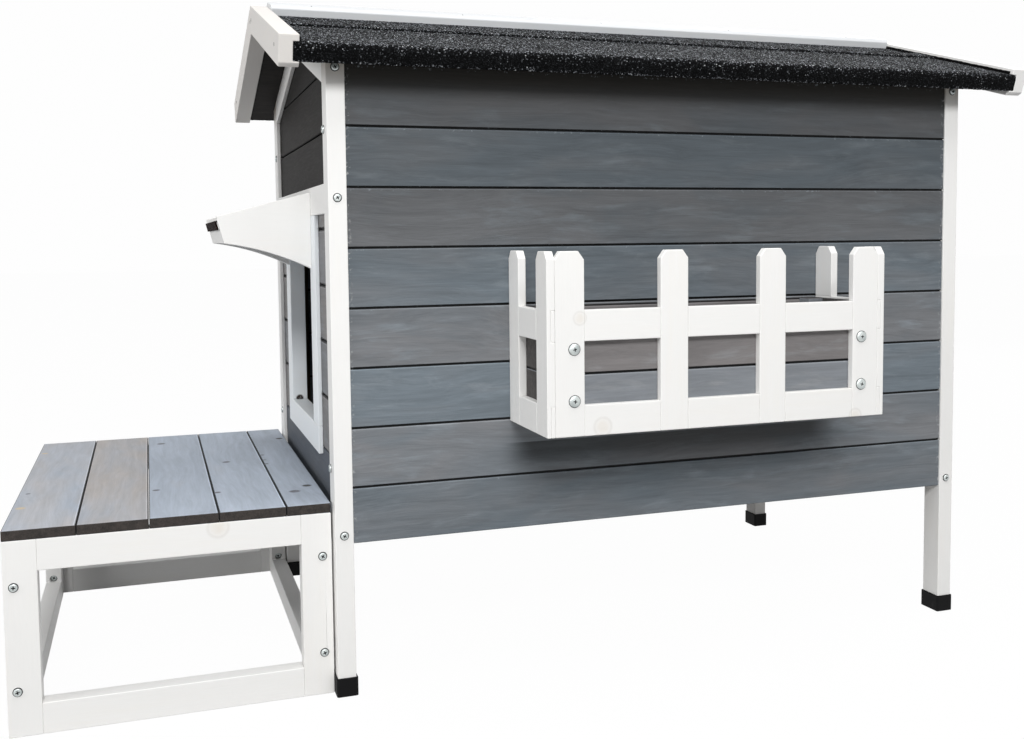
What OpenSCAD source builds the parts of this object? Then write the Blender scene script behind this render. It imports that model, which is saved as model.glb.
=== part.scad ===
// Outdoor cat house: a boarded timber cabin on corner posts with a hinged gable roof,
// a doorway under a small canopy, a flower box on the front wall and a stepping porch.
// X runs along the ridge, the doorway looks to -X, the flower box to -Y, Z is up.

/* [House frame] */
// Length over the corner posts, along the ridge
house_l = 901; // [820:1:1200]
// Width over the corner posts
house_w = 536; // [460:1:680]
// Height of the posts at their outer edge, under the eaves
post_h = 763.5; // [700:0.5:900]
// Post size along the ridge, also the thickness of the gable frames
post_t = 22; // [20:1:26]
// Post size across the ridge
post_d = 32; // [28:1:40]
// Height of the walls' lower edge above the ground
wall_z = 186.5; // [150:0.5:230]
// Face width of the middle rails, the sill and the head
rail_w = 36; // [30:1:42]
// Thickness of the bottom rails, laid flat
base_rail_t = 22; // [18:1:26]
// Depth of the rafters, square to the slope
rafter_w = 32; // [26:1:40]
// Height of the middle rail's lower edge over the doorway
mid_rail_z = 584; // [560:1:640]
// Size of the square battens behind the boards
batten_w = 22; // [18:1:26]
// Height of the foot caps
cap_h = 23; // [15:1:40]
// Wall and floor thickness of the foot caps
cap_wall = 2; // [1.5:0.5:4]
// Clearance of the foot caps round the posts
cap_fit = 0.15; // [0.1:0.05:0.5]

/* [Wall boards] */
// Thickness of the boards
board_t = 10; // [8:0.5:12]
// Exposed height of one board
board_pitch = 72; // [60:1:90]
// Exposed height of the lowest board of the long walls
bottom_course_h = 68.8; // [40:0.1:72]
// Exposed height of one board beside the doorway
door_pitch = 70.5; // [60:0.5:90]
// Height from the wall's lower edge to the first seam beside the doorway
door_course_h = 98.5; // [95:0.5:105]
// Exposed height of the first board over the middle rail
gable_course_h = 65; // [40:1:72]
// How far the long walls' boards lie behind the posts' faces
wall_recess = 2.5; // [1:0.5:5]
// How far the gable boards lie behind the frame's outer face
gable_recess = 6; // [3:0.5:8]
// Depth of the grooves that hold the gable boards
groove_d = 5; // [3:0.5:6]
// Space between the long walls' top boards and the roof
board_gap_top = 2; // [1:0.5:10]
// Length of the tongue on each board
tongue_l = 4; // [3:0.5:6]
// Thickness of the tongue
tongue_t = 3.2; // [2:0.1:4]
// Bevel along the upper outer edge of each board
bevel_top = 1.2; // [0.6:0.1:2]
// Height of the open shadow gap between two boards
seam_gap = 1.4; // [1:0.1:2.5]
// Bevel along the lower outer edge of each board
bevel_low = 1; // [0.5:0.5:2]
// Clearance between neighbouring boards and in their grooves
board_fit = 0.3; // [0.2:0.1:0.5]

/* [Doorway and canopy] */
// Clear width of the doorway
door_w = 216; // [160:1:250]
// Face width of the stiles
stile_w = 42; // [36:1:50]
// Height of the sill's lower edge
sill_z = 276; // [240:1:290]
// Thickness of the canopy's side cheeks
cheek_t = 12; // [8:1:16]
// Distance of the cheeks from the doorway's sides
cheek_side = 2; // [0:0.5:20]
// Length of the cheeks' top edge
cheek_l = 122.8; // [100:0.1:140]
// Height of the cheeks where they meet the wall
cheek_h = 99.5; // [80:0.5:120]
// Depth of the cheeks at their front edge
cheek_tip = 36; // [25:1:50]
// Height of the cheeks' top edge at the wall above the middle rail's lower edge
cheek_rise = 30.5; // [20:0.5:36]
// Slope of the canopy
canopy_angle = 14.4; // [5:0.1:25]
// Rise of the arch under each cheek
cheek_arch = 4.8; // [2:0.1:10]
// Distance of the canopy's covering below the cheeks' top edge
canopy_drop = 5.5; // [2:0.5:10]
// Thickness of the canopy's top board
canopy_board_t = 10; // [8:0.5:14]
// Thickness of the granule felt on the canopy
canopy_felt_t = 2; // [1:0.5:3]
// How far the felt's folded edge stands before the cheeks
felt_reach = 3; // [1:0.5:6]

/* [Roof] */
// Slope of the roof
roof_angle = 16.5; // [12:0.1:24]
// Overhang at the eaves, from the posts' outer face
eave_over = 50; // [42:1:80]
// Overhang at the door end, from the posts' outer face
door_over = 58.5; // [45:0.5:100]
// Overhang at the far end, from the posts' outer face
far_over = 74.5; // [45:0.5:120]
// Rest clearance between the roof and the walls
roof_rest = 0.3; // [0.1:0.1:1]
// Thickness of the battens under the roof boards
roof_batten_t = 10; // [8:1:16]
// Width of the eave and ridge battens
roof_batten_w = 36; // [30:1:50]
// Width of the end battens, which reach over the gable frames
end_batten_w = 100; // [90:1:120]
// Thickness of the roof boards
roof_board_t = 9; // [6:0.5:14]
// Thickness of the granule shingle
shingle_t = 3; // [2:0.5:5]
// Radius of the shingle's fold at the eave
fold_r = 6; // [3:0.5:7]
// Radius of the fold's lower outer edge
fold_low_r = 2; // [0.5:0.5:2]
// Distance from the ridge down to the seam between the shingle courses
shingle_seam = 157; // [110:1:230]
// Overlap of the upper shingle course
shingle_lap = 40; // [20:1:60]
// Thickness of the bargeboards
barge_t = 23; // [18:1:28]
// Lip of the bargeboards over the roof's edge
barge_lip = 8; // [5:0.5:12]
// Lip of the bargeboards under the roof's edge
barge_low_lip = 7; // [4:0.5:12]
// Depth of the groove that takes the roof's edge
barge_groove = 7; // [5:0.5:12]
// Corner cut at the bargeboards' lower end
barge_cut = 5; // [3:1:14]
// Width of each ridge cap board
cap_board_w = 36; // [30:1:60]
// Thickness of the ridge cap boards
cap_board_t = 14; // [8:1:20]
// Bevel of the ridge cap boards
cap_board_bevel = 4; // [1:0.5:6]

/* [Hinges] */
// Distance of each hinge from the middle of the house
hinge_x = 250; // [120:1:340]
// Width of the hinge leaves along the pin
hinge_l = 60; // [40:1:80]
// Length of the hinge leaves, square to the pin
leaf_l = 28; // [20:1:32]
// Thickness of the hinge leaves
leaf_t = 1.6; // [1.2:0.1:2.5]
// Outer radius of the hinge knuckles
knuckle_r = 4; // [3.5:0.1:5]
// Radius of the hinge pin
pin_r = 1.5; // [1.2:0.1:2]
// Radial clearance of the hinge pin
pin_fit = 0.05; // [0.02:0.01:0.1]
// Gap between the knuckles, and between them and the wood
knuckle_gap = 0.4; // [0.3:0.1:1]

/* [Fasteners] */
// Radius of the frame screws
screw_r = 2; // [1.5:0.1:3]
// Radius of the frame screws' heads
screw_head_r = 4.5; // [4:0.1:6]
// Height of the frame screws' heads
screw_head_h = 2.4; // [1.5:0.1:3]
// Distance of the posts' top screws below the rafters' upper edge
top_screw_drop = 19; // [15:0.5:22]
// Length of the screws' hold in the second piece of the frame and the porch
screw_hold = 18; // [12:1:24]
// Length of the screws' hold in the wall battens
batten_hold = 15; // [10:1:18]
// Radius of the hinge screws
hinge_screw_r = 1.5; // [1:0.1:2]
// Length of the hinge screws
hinge_screw_l = 9; // [7:0.5:9]
// Radius of the flower box bolts
bolt_r = 3; // [2.5:0.5:4]
// Radius of the bolts' domed heads
bolt_head_r = 6.8; // [6:0.1:9]
// Height of the bolts' domed heads
bolt_head_h = 3.2; // [2:0.1:5]
// Radius of the hexagon nuts over their corners
nut_r = 5.8; // [5:0.1:8]
// Height of the hexagon nuts
nut_h = 5; // [4:0.5:7]
// Length of the bolts beyond their nuts
bolt_end = 3; // [1:0.5:6]
// Radial clearance round every screw and bolt
hole_fit = 0.05; // [0.02:0.01:0.3]

/* [Flower box] */
// Length of the flower box over its side panels
planter_l = 455; // [380:1:600]
// Depth of the flower box from the wall boards to its front
planter_d = 134.5; // [115:0.5:180]
// Height of the flower box's lower edge above the ground
planter_z = 323.5; // [280:0.5:400]
// Height of the pickets
picket_h = 213.5; // [180:0.5:260]
// Width of the pickets
picket_w = 36; // [28:1:45]
// Thickness of pickets and rails
picket_t = 10; // [8:0.5:14]
// Number of pickets along the front
picket_n = 4; // [3:1:6]
// Width of the clipped corners on the picket tops
clip_w = 7; // [3:0.5:12]
// Height of the clipped corners on the picket tops
clip_h = 9.5; // [3:0.5:16]
// Height of the upper rail's top edge above the box's lower edge
picket_rail_top = 146; // [120:1:170]
// Thickness of the liner boards
liner_t = 10; // [8:0.5:14]
// Distance of the bolts from the middle of their battens, towards the middle of the box
bolt_inset = 2.5; // [0:0.5:4]
// Height of the lower bolts above the box's lower edge
bolt_low = 41; // [40:0.5:60]
// Height of the upper bolts above the box's lower edge
bolt_high = 101; // [80:0.5:105]

/* [Porch] */
// Reach of the porch, out from the house
porch_l = 366.5; // [300:0.5:480]
// Gap between the porch and the foot caps
porch_gap = 0.25; // [0.2:0.05:5]
// Distance of the porch's front face behind the posts' front faces
porch_inset = 16; // [0:1:60]
// Reach of the porch past the posts' back faces
porch_past = 28; // [0:1:32]
// Height of the deck
porch_h = 235.5; // [200:0.5:260]
// Thickness of the deck boards
deck_t = 12; // [9:0.5:18]
// Width of the deck boards
deck_board_w = 77.3; // [60:0.1:100]
// Gap between the deck boards
deck_gap = 0.75; // [0.5:0.05:5]
// Face width of the porch's legs and rails
porch_w = 36; // [30:1:45]
// Thickness of the porch's legs and rails
porch_t = 22; // [18:1:28]
// Height of the lower side rails
side_rail_w = 30; // [24:1:36]
// Height of the lower screws in the porch's legs
porch_screw_low = 52; // [40:1:80]
// Height of the upper screws in the porch's legs
porch_screw_high = 171; // [100:1:180]
// Height of the counterbored screws in the porch's inner legs
counterbore_z = 34; // [30:1:60]
// Radius of the counterbores
counterbore_r = 5.5; // [5:0.1:7]
// Depth of the counterbores
counterbore_d = 8; // [4:1:14]

/* [Floor] */
// Thickness of the floor boards
floor_t = 9; // [6:0.5:14]
// Number of floor boards
floor_n = 7; // [4:1:9]

/* [Hidden] */
$fn = 48;

// Driving lines of the house, before it is moved to its origin
half_l = house_l / 2;
half_w = house_w / 2;
inner_x = half_l - post_t;
inner_y = half_w - post_d;
wall_face = half_w - wall_recess;
wall_back = wall_face - board_t;
ridge_z = post_h + roof_rest + half_w * tan(roof_angle);
base_top = wall_z + base_rail_t;
rafter_drop = rafter_w / cos(roof_angle);
far = 4 * house_l;
cut = 1;

// Roof sizes, square to the slope
slab_t = roof_batten_t + roof_board_t + shingle_t;
barge_h = slab_t + barge_lip + barge_low_lip;
barge_top = slab_t + barge_lip;
slope_l = (half_w + eave_over - barge_top * sin(roof_angle)) / cos(roof_angle);
groove_x0 = -half_l - door_over + barge_t - barge_groove;
groove_x1 = half_l + far_over - barge_t + barge_groove;
slab_x0 = groove_x0 + board_fit;
slab_x1 = groove_x1 - board_fit;

// Hinge axis, under the back eave
hinge_off = knuckle_r + knuckle_gap;
hinge_y = wall_face + hinge_off;
hinge_z = under(hinge_y) - hinge_off / cos(roof_angle);

// Origin at the middle of the overall box, on the ground
origin_x = (half_l + porch_l - half_l - far_over) / 2;
origin_y = (wall_face + planter_d + bolt_head_h - half_w - eave_over) / 2;

// Height of the roof's underside over a place across the ridge
function under(y) = ridge_z - abs(y) * tan(roof_angle);

// Height of the rafters' lower edge over a place across the ridge
function rafter_low(y) = under(y) - roof_rest - rafter_drop;

// Board edges from one height to another, with a seam at every pitch
function board_edges(low, high, first, pitch) = concat(
    [low], [for (z = first; z < high - pitch / 6; z = z + pitch) z], [high]
);

// Moves a piece from the house's own lines to the model's origin
module placed() {
    translate([origin_x, origin_y, 0]) children();
}

// Fasteners

// A pan head screw with its seat at the origin, pointing down
module pan_screw(length) {
    rotate_extrude() polygon([
        [0, -length], [screw_r * 0.4, -length], [screw_r, -length + 2 * screw_r], [screw_r, 0],
        [screw_head_r, 0], [screw_head_r, screw_head_h * 0.35], [screw_head_r * 0.82, screw_head_h * 0.75],
        [screw_head_r * 0.45, screw_head_h], [0, screw_head_h]
    ]);
}

module screw_hole(length) {
    translate([0, 0, -length - hole_fit]) cylinder(r = screw_r + hole_fit, h = length + hole_fit + cut);
}

// A domed bolt with its seat at the origin, pointing down
module dome_bolt(length) {
    rotate_extrude() polygon([
        [0, -length], [bolt_r, -length], [bolt_r, 0], [bolt_head_r, 0], [bolt_head_r, bolt_head_h * 0.2],
        [bolt_head_r * 0.86, bolt_head_h * 0.6], [bolt_head_r * 0.5, bolt_head_h * 0.92], [0, bolt_head_h]
    ]);
}

module hex_nut() {
    difference() {
        cylinder(r = nut_r, h = nut_h, $fn = 6);
        translate([0, 0, -cut]) cylinder(r = bolt_r + hole_fit, h = nut_h + 2 * cut);
    }
}

// Turns a fastener that points down so that it points along +Y or along -Y
module along_y(side) {
    rotate([side * 90, 0, 0]) children();
}

// Turns a fastener that points down so that it points along +X or along -X
module along_x(side) {
    rotate([0, -side * 90, 0]) children();
}

// Screws through the posts' narrow faces into the rails' ends, one child call per screw
post_screw_l = post_d + screw_hold;
batten_screw_l = post_t + batten_hold;
screw_x = half_l - post_t / 2;
screw_z_base = wall_z + base_rail_t / 2;
screw_z_mid = mid_rail_z + rail_w / 2;
screw_z_top = under(inner_y) - roof_rest - top_screw_drop;
batten_y = wall_back - batten_w / 2;
batten_screw_low = sill_z;
batten_screw_high = post_h - 2.5 * rafter_w;

module at_post_screws(side) {
    for (x = [-screw_x, screw_x])
        for (z = x < 0 ? [screw_z_base, screw_z_mid, screw_z_top] : [screw_z_base, screw_z_top])
            translate([x, side * half_w, z]) along_y(-side) children();
}

module at_batten_screws(side) {
    for (y = [-batten_y, batten_y])
        for (z = [batten_screw_low, batten_screw_high])
            translate([side * half_l, y, z]) along_x(-side) children();
}

module frame_screw_holes() {
    for (side = [-1, 1]) {
        at_post_screws(side) screw_hole(post_screw_l);
        at_batten_screws(side) screw_hole(batten_screw_l);
    }
}

// Takes the frame's screw holes out of a piece
module drilled() {
    difference() {
        union() children();
        frame_screw_holes();
    }
}

// House frame

// The space under the roof, which cuts off whatever stands below it
module under_roof() {
    rotate([90, 0, 90]) linear_extrude(height = far, center = true) polygon([
        [-house_w, 0], [house_w, 0], [house_w, under(house_w) - roof_rest],
        [0, ridge_z - roof_rest], [-house_w, under(house_w) - roof_rest]
    ]);
}

// One corner post at -X and -Y, cut to the roof's slope and grooved for the gable boards
module corner_post() {
    difference() {
        intersection() {
            translate([-half_l, -half_w, cap_wall]) cube([post_t, post_d, ridge_z]);
            under_roof();
        }
        gable_channel() translate([-inner_y - groove_d, base_top - groove_d])
            square([groove_d + cut, ridge_z]);
    }
}

// A slot as thick as the gable boards, in the plane of the door end's frame
module gable_channel() {
    translate([-half_l + gable_recess - board_fit / 2, 0, 0])
        rotate([90, 0, 90]) linear_extrude(height = board_t + board_fit) children();
}

module post_door_front() {
    color("white") placed() drilled() corner_post();
}

module post_door_back() {
    color("white") placed() drilled() mirror([0, 1, 0]) corner_post();
}

module post_far_front() {
    color("white") placed() drilled() mirror([1, 0, 0]) corner_post();
}

module post_far_back() {
    color("white") placed() drilled() mirror([1, 0, 0]) mirror([0, 1, 0]) corner_post();
}

// A moulded cap pushed over each post's foot
module foot_caps() {
    out_t = post_t + 2 * (cap_wall + cap_fit);
    out_d = post_d + 2 * (cap_wall + cap_fit);
    color("black") placed() for (sx = [-1, 1]) for (sy = [-1, 1])
        translate([sx * (half_l - post_t / 2), sy * (half_w - post_d / 2), 0]) difference() {
            linear_extrude(height = cap_h) difference() {
                square([out_t, out_d], center = true);
                for (a = [-1, 1]) for (b = [-1, 1])
                    translate([a * out_t / 2, b * out_d / 2]) rotate(45)
                        square(cap_wall * 1.2, center = true);
            }
            translate([-post_t / 2 - cap_fit, -post_d / 2 - cap_fit, cap_wall])
                cube([post_t + 2 * cap_fit, post_d + 2 * cap_fit, cap_h]);
        }
}

// Boards

tongue_a = board_t / 2 + 0.5 - tongue_t / 2;
tongue_b = tongue_a + tongue_t;
seam_depth = 0.85 * tongue_a;

// Section of one board: depth from its outer face along X, height along Y
module board_section(low, high, grooved, tongued) {
    top = high - board_fit;
    polygon(concat(
        [[0, low + bevel_low], [bevel_low, low]],
        grooved ? [
            [tongue_a - board_fit, low], [tongue_a - board_fit, low + tongue_l],
            [tongue_b + board_fit, low + tongue_l], [tongue_b + board_fit, low]
        ] : [],
        [[board_t, low], [board_t, top]],
        tongued ? [
            [tongue_b, top], [tongue_b, top + tongue_l], [tongue_a, top + tongue_l], [tongue_a, top]
        ] : [],
        tongued ? [
            [seam_depth, top], [seam_depth, top - seam_gap], [bevel_top, top - seam_gap],
            [0, top - seam_gap - bevel_top]
        ] : [[bevel_top, top], [0, top - bevel_top]]
    ));
}

// Boards one on the other along X, centred, with their outer face at Y = 0
module boards_x(edges, length) {
    last = len(edges) - 2;
    for (i = [0:last])
        rotate([90, 0, 90]) linear_extrude(height = length, center = true)
            board_section(edges[i], edges[i + 1], i > 0, i < last);
}

// Boards one on the other along Y, centred, with their outer face at X = 0, from one board to another
module boards_y(edges, length, from, to) {
    last = len(edges) - 2;
    for (i = [from:to])
        rotate([90, 0, 0]) linear_extrude(height = length, center = true)
            board_section(edges[i], edges[i + 1], i > 0, i < last);
}

wall_top = under(wall_face) - roof_rest - board_gap_top;
wall_edges = board_edges(wall_z, wall_top, wall_z + bottom_course_h, board_pitch);

module front_wall_boards() {
    color("slategray") placed() difference() {
        translate([0, -wall_face, 0]) boards_x(wall_edges, 2 * inner_x);
        planter_bolt_holes();
    }
}

module back_wall_boards() {
    color("slategray") placed() difference() {
        mirror([0, 1, 0]) translate([0, -wall_face, 0]) boards_x(wall_edges, 2 * inner_x);
        hinge_wall_screw_holes();
    }
}

module at_wall_battens() {
    for (side = [-1, 1]) for (x = [-inner_x, -batten_w / 2, inner_x - batten_w])
        translate([x, side * batten_y - batten_w / 2, base_top]) children();
}

// Upright battens at the ends and in the middle of both long walls
module wall_battens() {
    color("burlywood") placed() drilled() intersection() {
        at_wall_battens() cube([batten_w, batten_w, ridge_z]);
        under_roof();
    }
}

// Opening over the middle rail, grown by a margin into the frame round it
module gable_field(low, margin) {
    reach = inner_y + margin;
    lift = margin / cos(roof_angle);
    polygon([
        [-reach, low - margin], [reach, low - margin], [reach, rafter_low(reach) + lift],
        [0, rafter_low(0) + lift], [-reach, rafter_low(reach) + lift]
    ]);
}

// Opening round the door frame, grown by a margin into the frame round it
module door_field(margin) {
    reach = inner_y + margin;
    frame_y = door_w / 2 + stile_w - margin;
    polygon([
        [-reach, base_top - margin], [reach, base_top - margin], [reach, mid_rail_z + margin],
        [frame_y, mid_rail_z + margin], [frame_y, sill_z + margin], [-frame_y, sill_z + margin],
        [-frame_y, mid_rail_z + margin], [-reach, mid_rail_z + margin]
    ]);
}

// The part of the door end's boards that lies inside a field
module gable_boards_in(edges, from, to) {
    intersection() {
        translate([-half_l + gable_recess, 0, 0]) boards_y(edges, house_w, from, to);
        rotate([90, 0, 90]) linear_extrude(height = far, center = true) children();
    }
}

slide_in = groove_d - board_fit;
mid_rail_top = mid_rail_z + rail_w;
gable_edges = board_edges(
    mid_rail_top - slide_in, rafter_low(0) + slide_in, mid_rail_top + gable_course_h, board_pitch
);
door_edges = board_edges(
    base_top - slide_in, mid_rail_z + slide_in, wall_z + door_course_h, door_pitch
);
far_edges = board_edges(
    base_top - slide_in, rafter_low(0) + slide_in, wall_z + bottom_course_h, board_pitch
);

module door_gable_boards() {
    color("slategray") placed() gable_boards_in(gable_edges, 0, len(gable_edges) - 2)
        gable_field(mid_rail_top, slide_in);
}

// Boards beside the doorway, above the one that runs under the sill
module door_side_boards() {
    gable_boards_in(door_edges, 1, len(door_edges) - 2) intersection() {
        door_field(slide_in);
        translate([-house_w, 0]) square([house_w, ridge_z]);
    }
}

module door_side_boards_front() {
    color("slategray") placed() door_side_boards();
}

module door_side_boards_back() {
    color("slategray") placed() mirror([0, 1, 0]) door_side_boards();
}

// The lowest board, notched round the door frame
module door_base_board() {
    color("slategray") placed() gable_boards_in(door_edges, 0, 0) door_field(slide_in);
}

module far_gable_boards() {
    color("slategray") placed() mirror([1, 0, 0]) gable_boards_in(far_edges, 0, len(far_edges) - 2)
        gable_field(base_top, slide_in);
}

// Gable frames

// A level rail of the door end, between the posts
module gable_rail(low, height, depth) {
    translate([-half_l, -inner_y, low]) cube([depth, 2 * inner_y, height]);
}

module door_mid_rail() {
    color("white") placed() drilled() difference() {
        gable_rail(mid_rail_z, rail_w, post_t);
        gable_channel() gable_field(mid_rail_top, groove_d);
        gable_channel() door_field(groove_d);
    }
}

module door_bottom_rail() {
    color("white") placed() drilled() difference() {
        gable_rail(wall_z, base_rail_t, rail_w);
        gable_channel() door_field(groove_d);
    }
}

module far_bottom_rail() {
    color("white") placed() drilled() mirror([1, 0, 0]) difference() {
        gable_rail(wall_z, base_rail_t, rail_w);
        gable_channel() gable_field(base_top, groove_d);
    }
}

// The front rafter of the door end, from the post to the ridge
module rafter(field_low) {
    difference() {
        translate([-half_l, 0, 0]) rotate([90, 0, 90]) linear_extrude(height = post_t) polygon([
            [-inner_y, rafter_low(inner_y)], [0, rafter_low(0)],
            [0, ridge_z - roof_rest], [-inner_y, under(inner_y) - roof_rest]
        ]);
        gable_channel() gable_field(field_low, groove_d);
    }
}

module door_rafter_front() {
    color("white") placed() drilled() rafter(mid_rail_top);
}

module door_rafter_back() {
    color("white") placed() drilled() mirror([0, 1, 0]) rafter(mid_rail_top);
}

module far_rafter_front() {
    color("white") placed() drilled() mirror([1, 0, 0]) rafter(base_top);
}

module far_rafter_back() {
    color("white") placed() drilled() mirror([1, 0, 0]) mirror([0, 1, 0]) rafter(base_top);
}

// Door frame

sill_top = sill_z + rail_w;
frame_half = door_w / 2 + stile_w;

module door_sill() {
    color("white") placed() difference() {
        translate([-half_l, -frame_half, sill_z]) cube([post_t, 2 * frame_half, rail_w]);
        gable_channel() door_field(groove_d);
    }
}

module door_stile() {
    difference() {
        translate([-half_l, -frame_half, sill_top]) cube([post_t, stile_w, mid_rail_z - sill_top]);
        gable_channel() door_field(groove_d);
    }
}

module door_stile_front() {
    color("white") placed() door_stile();
}

module door_stile_back() {
    color("white") placed() mirror([0, 1, 0]) door_stile();
}

module door_head() {
    color("white") placed()
        translate([-half_l, -door_w / 2, mid_rail_z - rail_w]) cube([post_t, door_w, rail_w]);
}

// Canopy over the doorway

canopy_top = mid_rail_z + cheek_rise;
canopy_half = door_w / 2 + cheek_side;

// Local X runs down the canopy's slope away from the wall, local Y is square to it
module canopy_profile(width) {
    translate([-half_l, 0, canopy_top]) mirror([1, 0, 0]) rotate([0, canopy_angle, 0])
        rotate([90, 0, 0]) linear_extrude(height = width, center = true) children();
}

// A half plane that ends at the wall's face, in the canopy's local lines
module before_wall() {
    rotate(canopy_angle) translate([0, -2 * cheek_h]) square([2 * cheek_l, 4 * cheek_h]);
}

// One cheek: straight on top, square at the tip and arched underneath
module cheek() {
    foot = [cheek_h * sin(canopy_angle), -cheek_h * cos(canopy_angle)];
    tip = [cheek_l, -cheek_tip];
    chord = norm(tip - foot);
    arch_r = (chord * chord / 4 + cheek_arch * cheek_arch) / (2 * cheek_arch);
    lean = atan2(tip[1] - foot[1], tip[0] - foot[0]);
    canopy_profile(cheek_t) difference() {
        polygon([[0, 0], [cheek_l, 0], tip, foot]);
        translate((foot + tip) / 2) rotate(lean) translate([0, cheek_arch - arch_r])
            circle(r = arch_r, $fn = 240);
    }
}

module canopy_cheek_front() {
    color("white") placed() translate([0, -canopy_half - cheek_t / 2, 0]) cheek();
}

module canopy_cheek_back() {
    color("white") placed() translate([0, canopy_half + cheek_t / 2, 0]) cheek();
}

felt_low = canopy_drop + canopy_felt_t;
board_low = felt_low + canopy_board_t;

module canopy_top_board() {
    color("white") placed() canopy_profile(2 * canopy_half) intersection() {
        translate([-cheek_l, -board_low]) square([2 * cheek_l + felt_reach - canopy_felt_t, canopy_board_t]);
        before_wall();
    }
}

// Felt over the top board, folded down over its front edge
module canopy_felt() {
    color("dimgray") placed() canopy_profile(2 * canopy_half) intersection() {
        union() {
            translate([-cheek_l, -felt_low]) square([2 * cheek_l + felt_reach, canopy_felt_t]);
            translate([cheek_l + felt_reach - canopy_felt_t, -board_low])
                square([canopy_felt_t, board_low - canopy_drop]);
        }
        before_wall();
    }
}

module canopy_front_board() {
    color("white") placed() canopy_profile(2 * canopy_half)
        translate([cheek_l - canopy_board_t, -cheek_tip]) square([canopy_board_t, cheek_tip - board_low]);
}

// Floor

bearer_y = wall_back - rail_w;

// Flat bearers: one along each long wall and one across the middle
module floor_bearers() {
    bearer_x = half_l - rail_w;
    color("burlywood") placed() {
        for (side = [-1, 1])
            translate([-bearer_x, side * (wall_back - rail_w / 2) - rail_w / 2, wall_z])
                cube([2 * bearer_x, rail_w, base_rail_t]);
        translate([-rail_w / 2, -bearer_y + board_fit, wall_z])
            cube([rail_w, 2 * (bearer_y - board_fit), base_rail_t]);
    }
}

// Floor boards along the house, notched round the wall battens
module floor_boards() {
    board_w = 2 * wall_back / floor_n;
    color("burlywood") placed() difference() {
        for (i = [0:floor_n - 1])
            translate([-inner_x, -wall_back + i * board_w + board_fit / 2, base_top])
                cube([2 * inner_x, board_w - board_fit, floor_t]);
        at_wall_battens() translate([-board_fit, -board_fit, -cut])
            cube([batten_w + 2 * board_fit, batten_w + 2 * board_fit, floor_t + 2 * cut]);
    }
}

// Roof

// One side of the roof, -1 in front and 1 behind: local X along the ridge, local Y down
// the slope and local Z out of the roof, cut off upright at the ridge
module roof_side(side) {
    mirror([0, side < 0 ? 1 : 0, 0]) intersection() {
        translate([-far / 2, 0, 0]) cube([far, house_w, 2 * ridge_z]);
        translate([0, 0, ridge_z]) rotate([-roof_angle, 0, 0]) children();
    }
}

// An outline across the slope, its X down the slope and its Y out of the roof, run along the ridge
module along_ridge(x0, x1) {
    translate([x0, 0, 0]) rotate([90, 0, 90]) linear_extrude(height = x1 - x0) children();
}

board_z = roof_batten_t + roof_board_t;
slab_l = slope_l - shingle_t;

module roof_board(side) {
    color("burlywood") placed() roof_side(side)
        translate([slab_x0, -slab_t, roof_batten_t]) cube([slab_x1 - slab_x0, slab_l + slab_t, roof_board_t]);
}

module roof_board_front() {
    roof_board(-1);
}

module roof_board_back() {
    roof_board(1);
}

// Battens under each roof board: two at the ends, one at the eave and one at the ridge
module roof_batten_set() {
    mid_x0 = slab_x0 + end_batten_w + board_fit;
    mid_x1 = slab_x1 - end_batten_w - board_fit;
    for (x = [slab_x0, slab_x1 - end_batten_w])
        translate([x, -slab_t, 0]) cube([end_batten_w, slab_l + slab_t, roof_batten_t]);
    translate([mid_x0, slab_l - roof_batten_w, 0]) cube([mid_x1 - mid_x0, roof_batten_w, roof_batten_t]);
    translate([mid_x0, -slab_t, 0]) cube([mid_x1 - mid_x0, roof_batten_w + slab_t, roof_batten_t]);
}

module roof_battens() {
    color("burlywood") placed() difference() {
        for (side = [-1, 1]) roof_side(side) roof_batten_set();
        translate([-far / 2, -board_fit / 2, 0]) cube([far, board_fit, 2 * ridge_z]);
        hinge_roof_screw_holes();
    }
}

// Points of a quarter round about a centre, from one direction to the next one
function quarter(center, r, from) = [
    for (i = [0:6]) center + r * [cos(from + i * 15), sin(from + i * 15)]
];

// Lower course, folded over the eave, and upper course, lapped over it at the seam
module shingles(side) {
    step = shingle_seam - shingle_lap;
    color("darkslategray") placed() roof_side(side) {
        along_ridge(slab_x0, slab_x1) polygon(concat(
            [[step, board_z], [slab_l, board_z], [slab_l, 0]],
            quarter([slope_l - fold_low_r, fold_low_r], fold_low_r, -90),
            quarter([slope_l - fold_r, slab_t - fold_r], fold_r, 0),
            [[step, slab_t]]
        ));
        along_ridge(slab_x0 + barge_groove, slab_x1 - barge_groove) polygon([
            [-slab_t, board_z], [step - board_fit, board_z], [step - board_fit, slab_t + board_fit],
            [shingle_seam, slab_t + board_fit], [shingle_seam, slab_t + shingle_t],
            [step, slab_t + shingle_t], [step - 3 * shingle_t, slab_t], [-slab_t, slab_t]
        ]);
    }
}

module shingles_front() {
    shingles(-1);
}

module shingles_back() {
    shingles(1);
}

module ridge_cap(side) {
    high = slab_t + cap_board_t;
    color("white") placed() roof_side(side)
        along_ridge(groove_x0 + barge_groove + board_fit, groove_x1 - barge_groove - board_fit) polygon([
            [-high, slab_t], [cap_board_w, slab_t], [cap_board_w, high - cap_board_bevel],
            [cap_board_w - cap_board_bevel, high], [-high, high]
        ]);
}

module ridge_cap_front() {
    ridge_cap(-1);
}

module ridge_cap_back() {
    ridge_cap(1);
}

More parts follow.
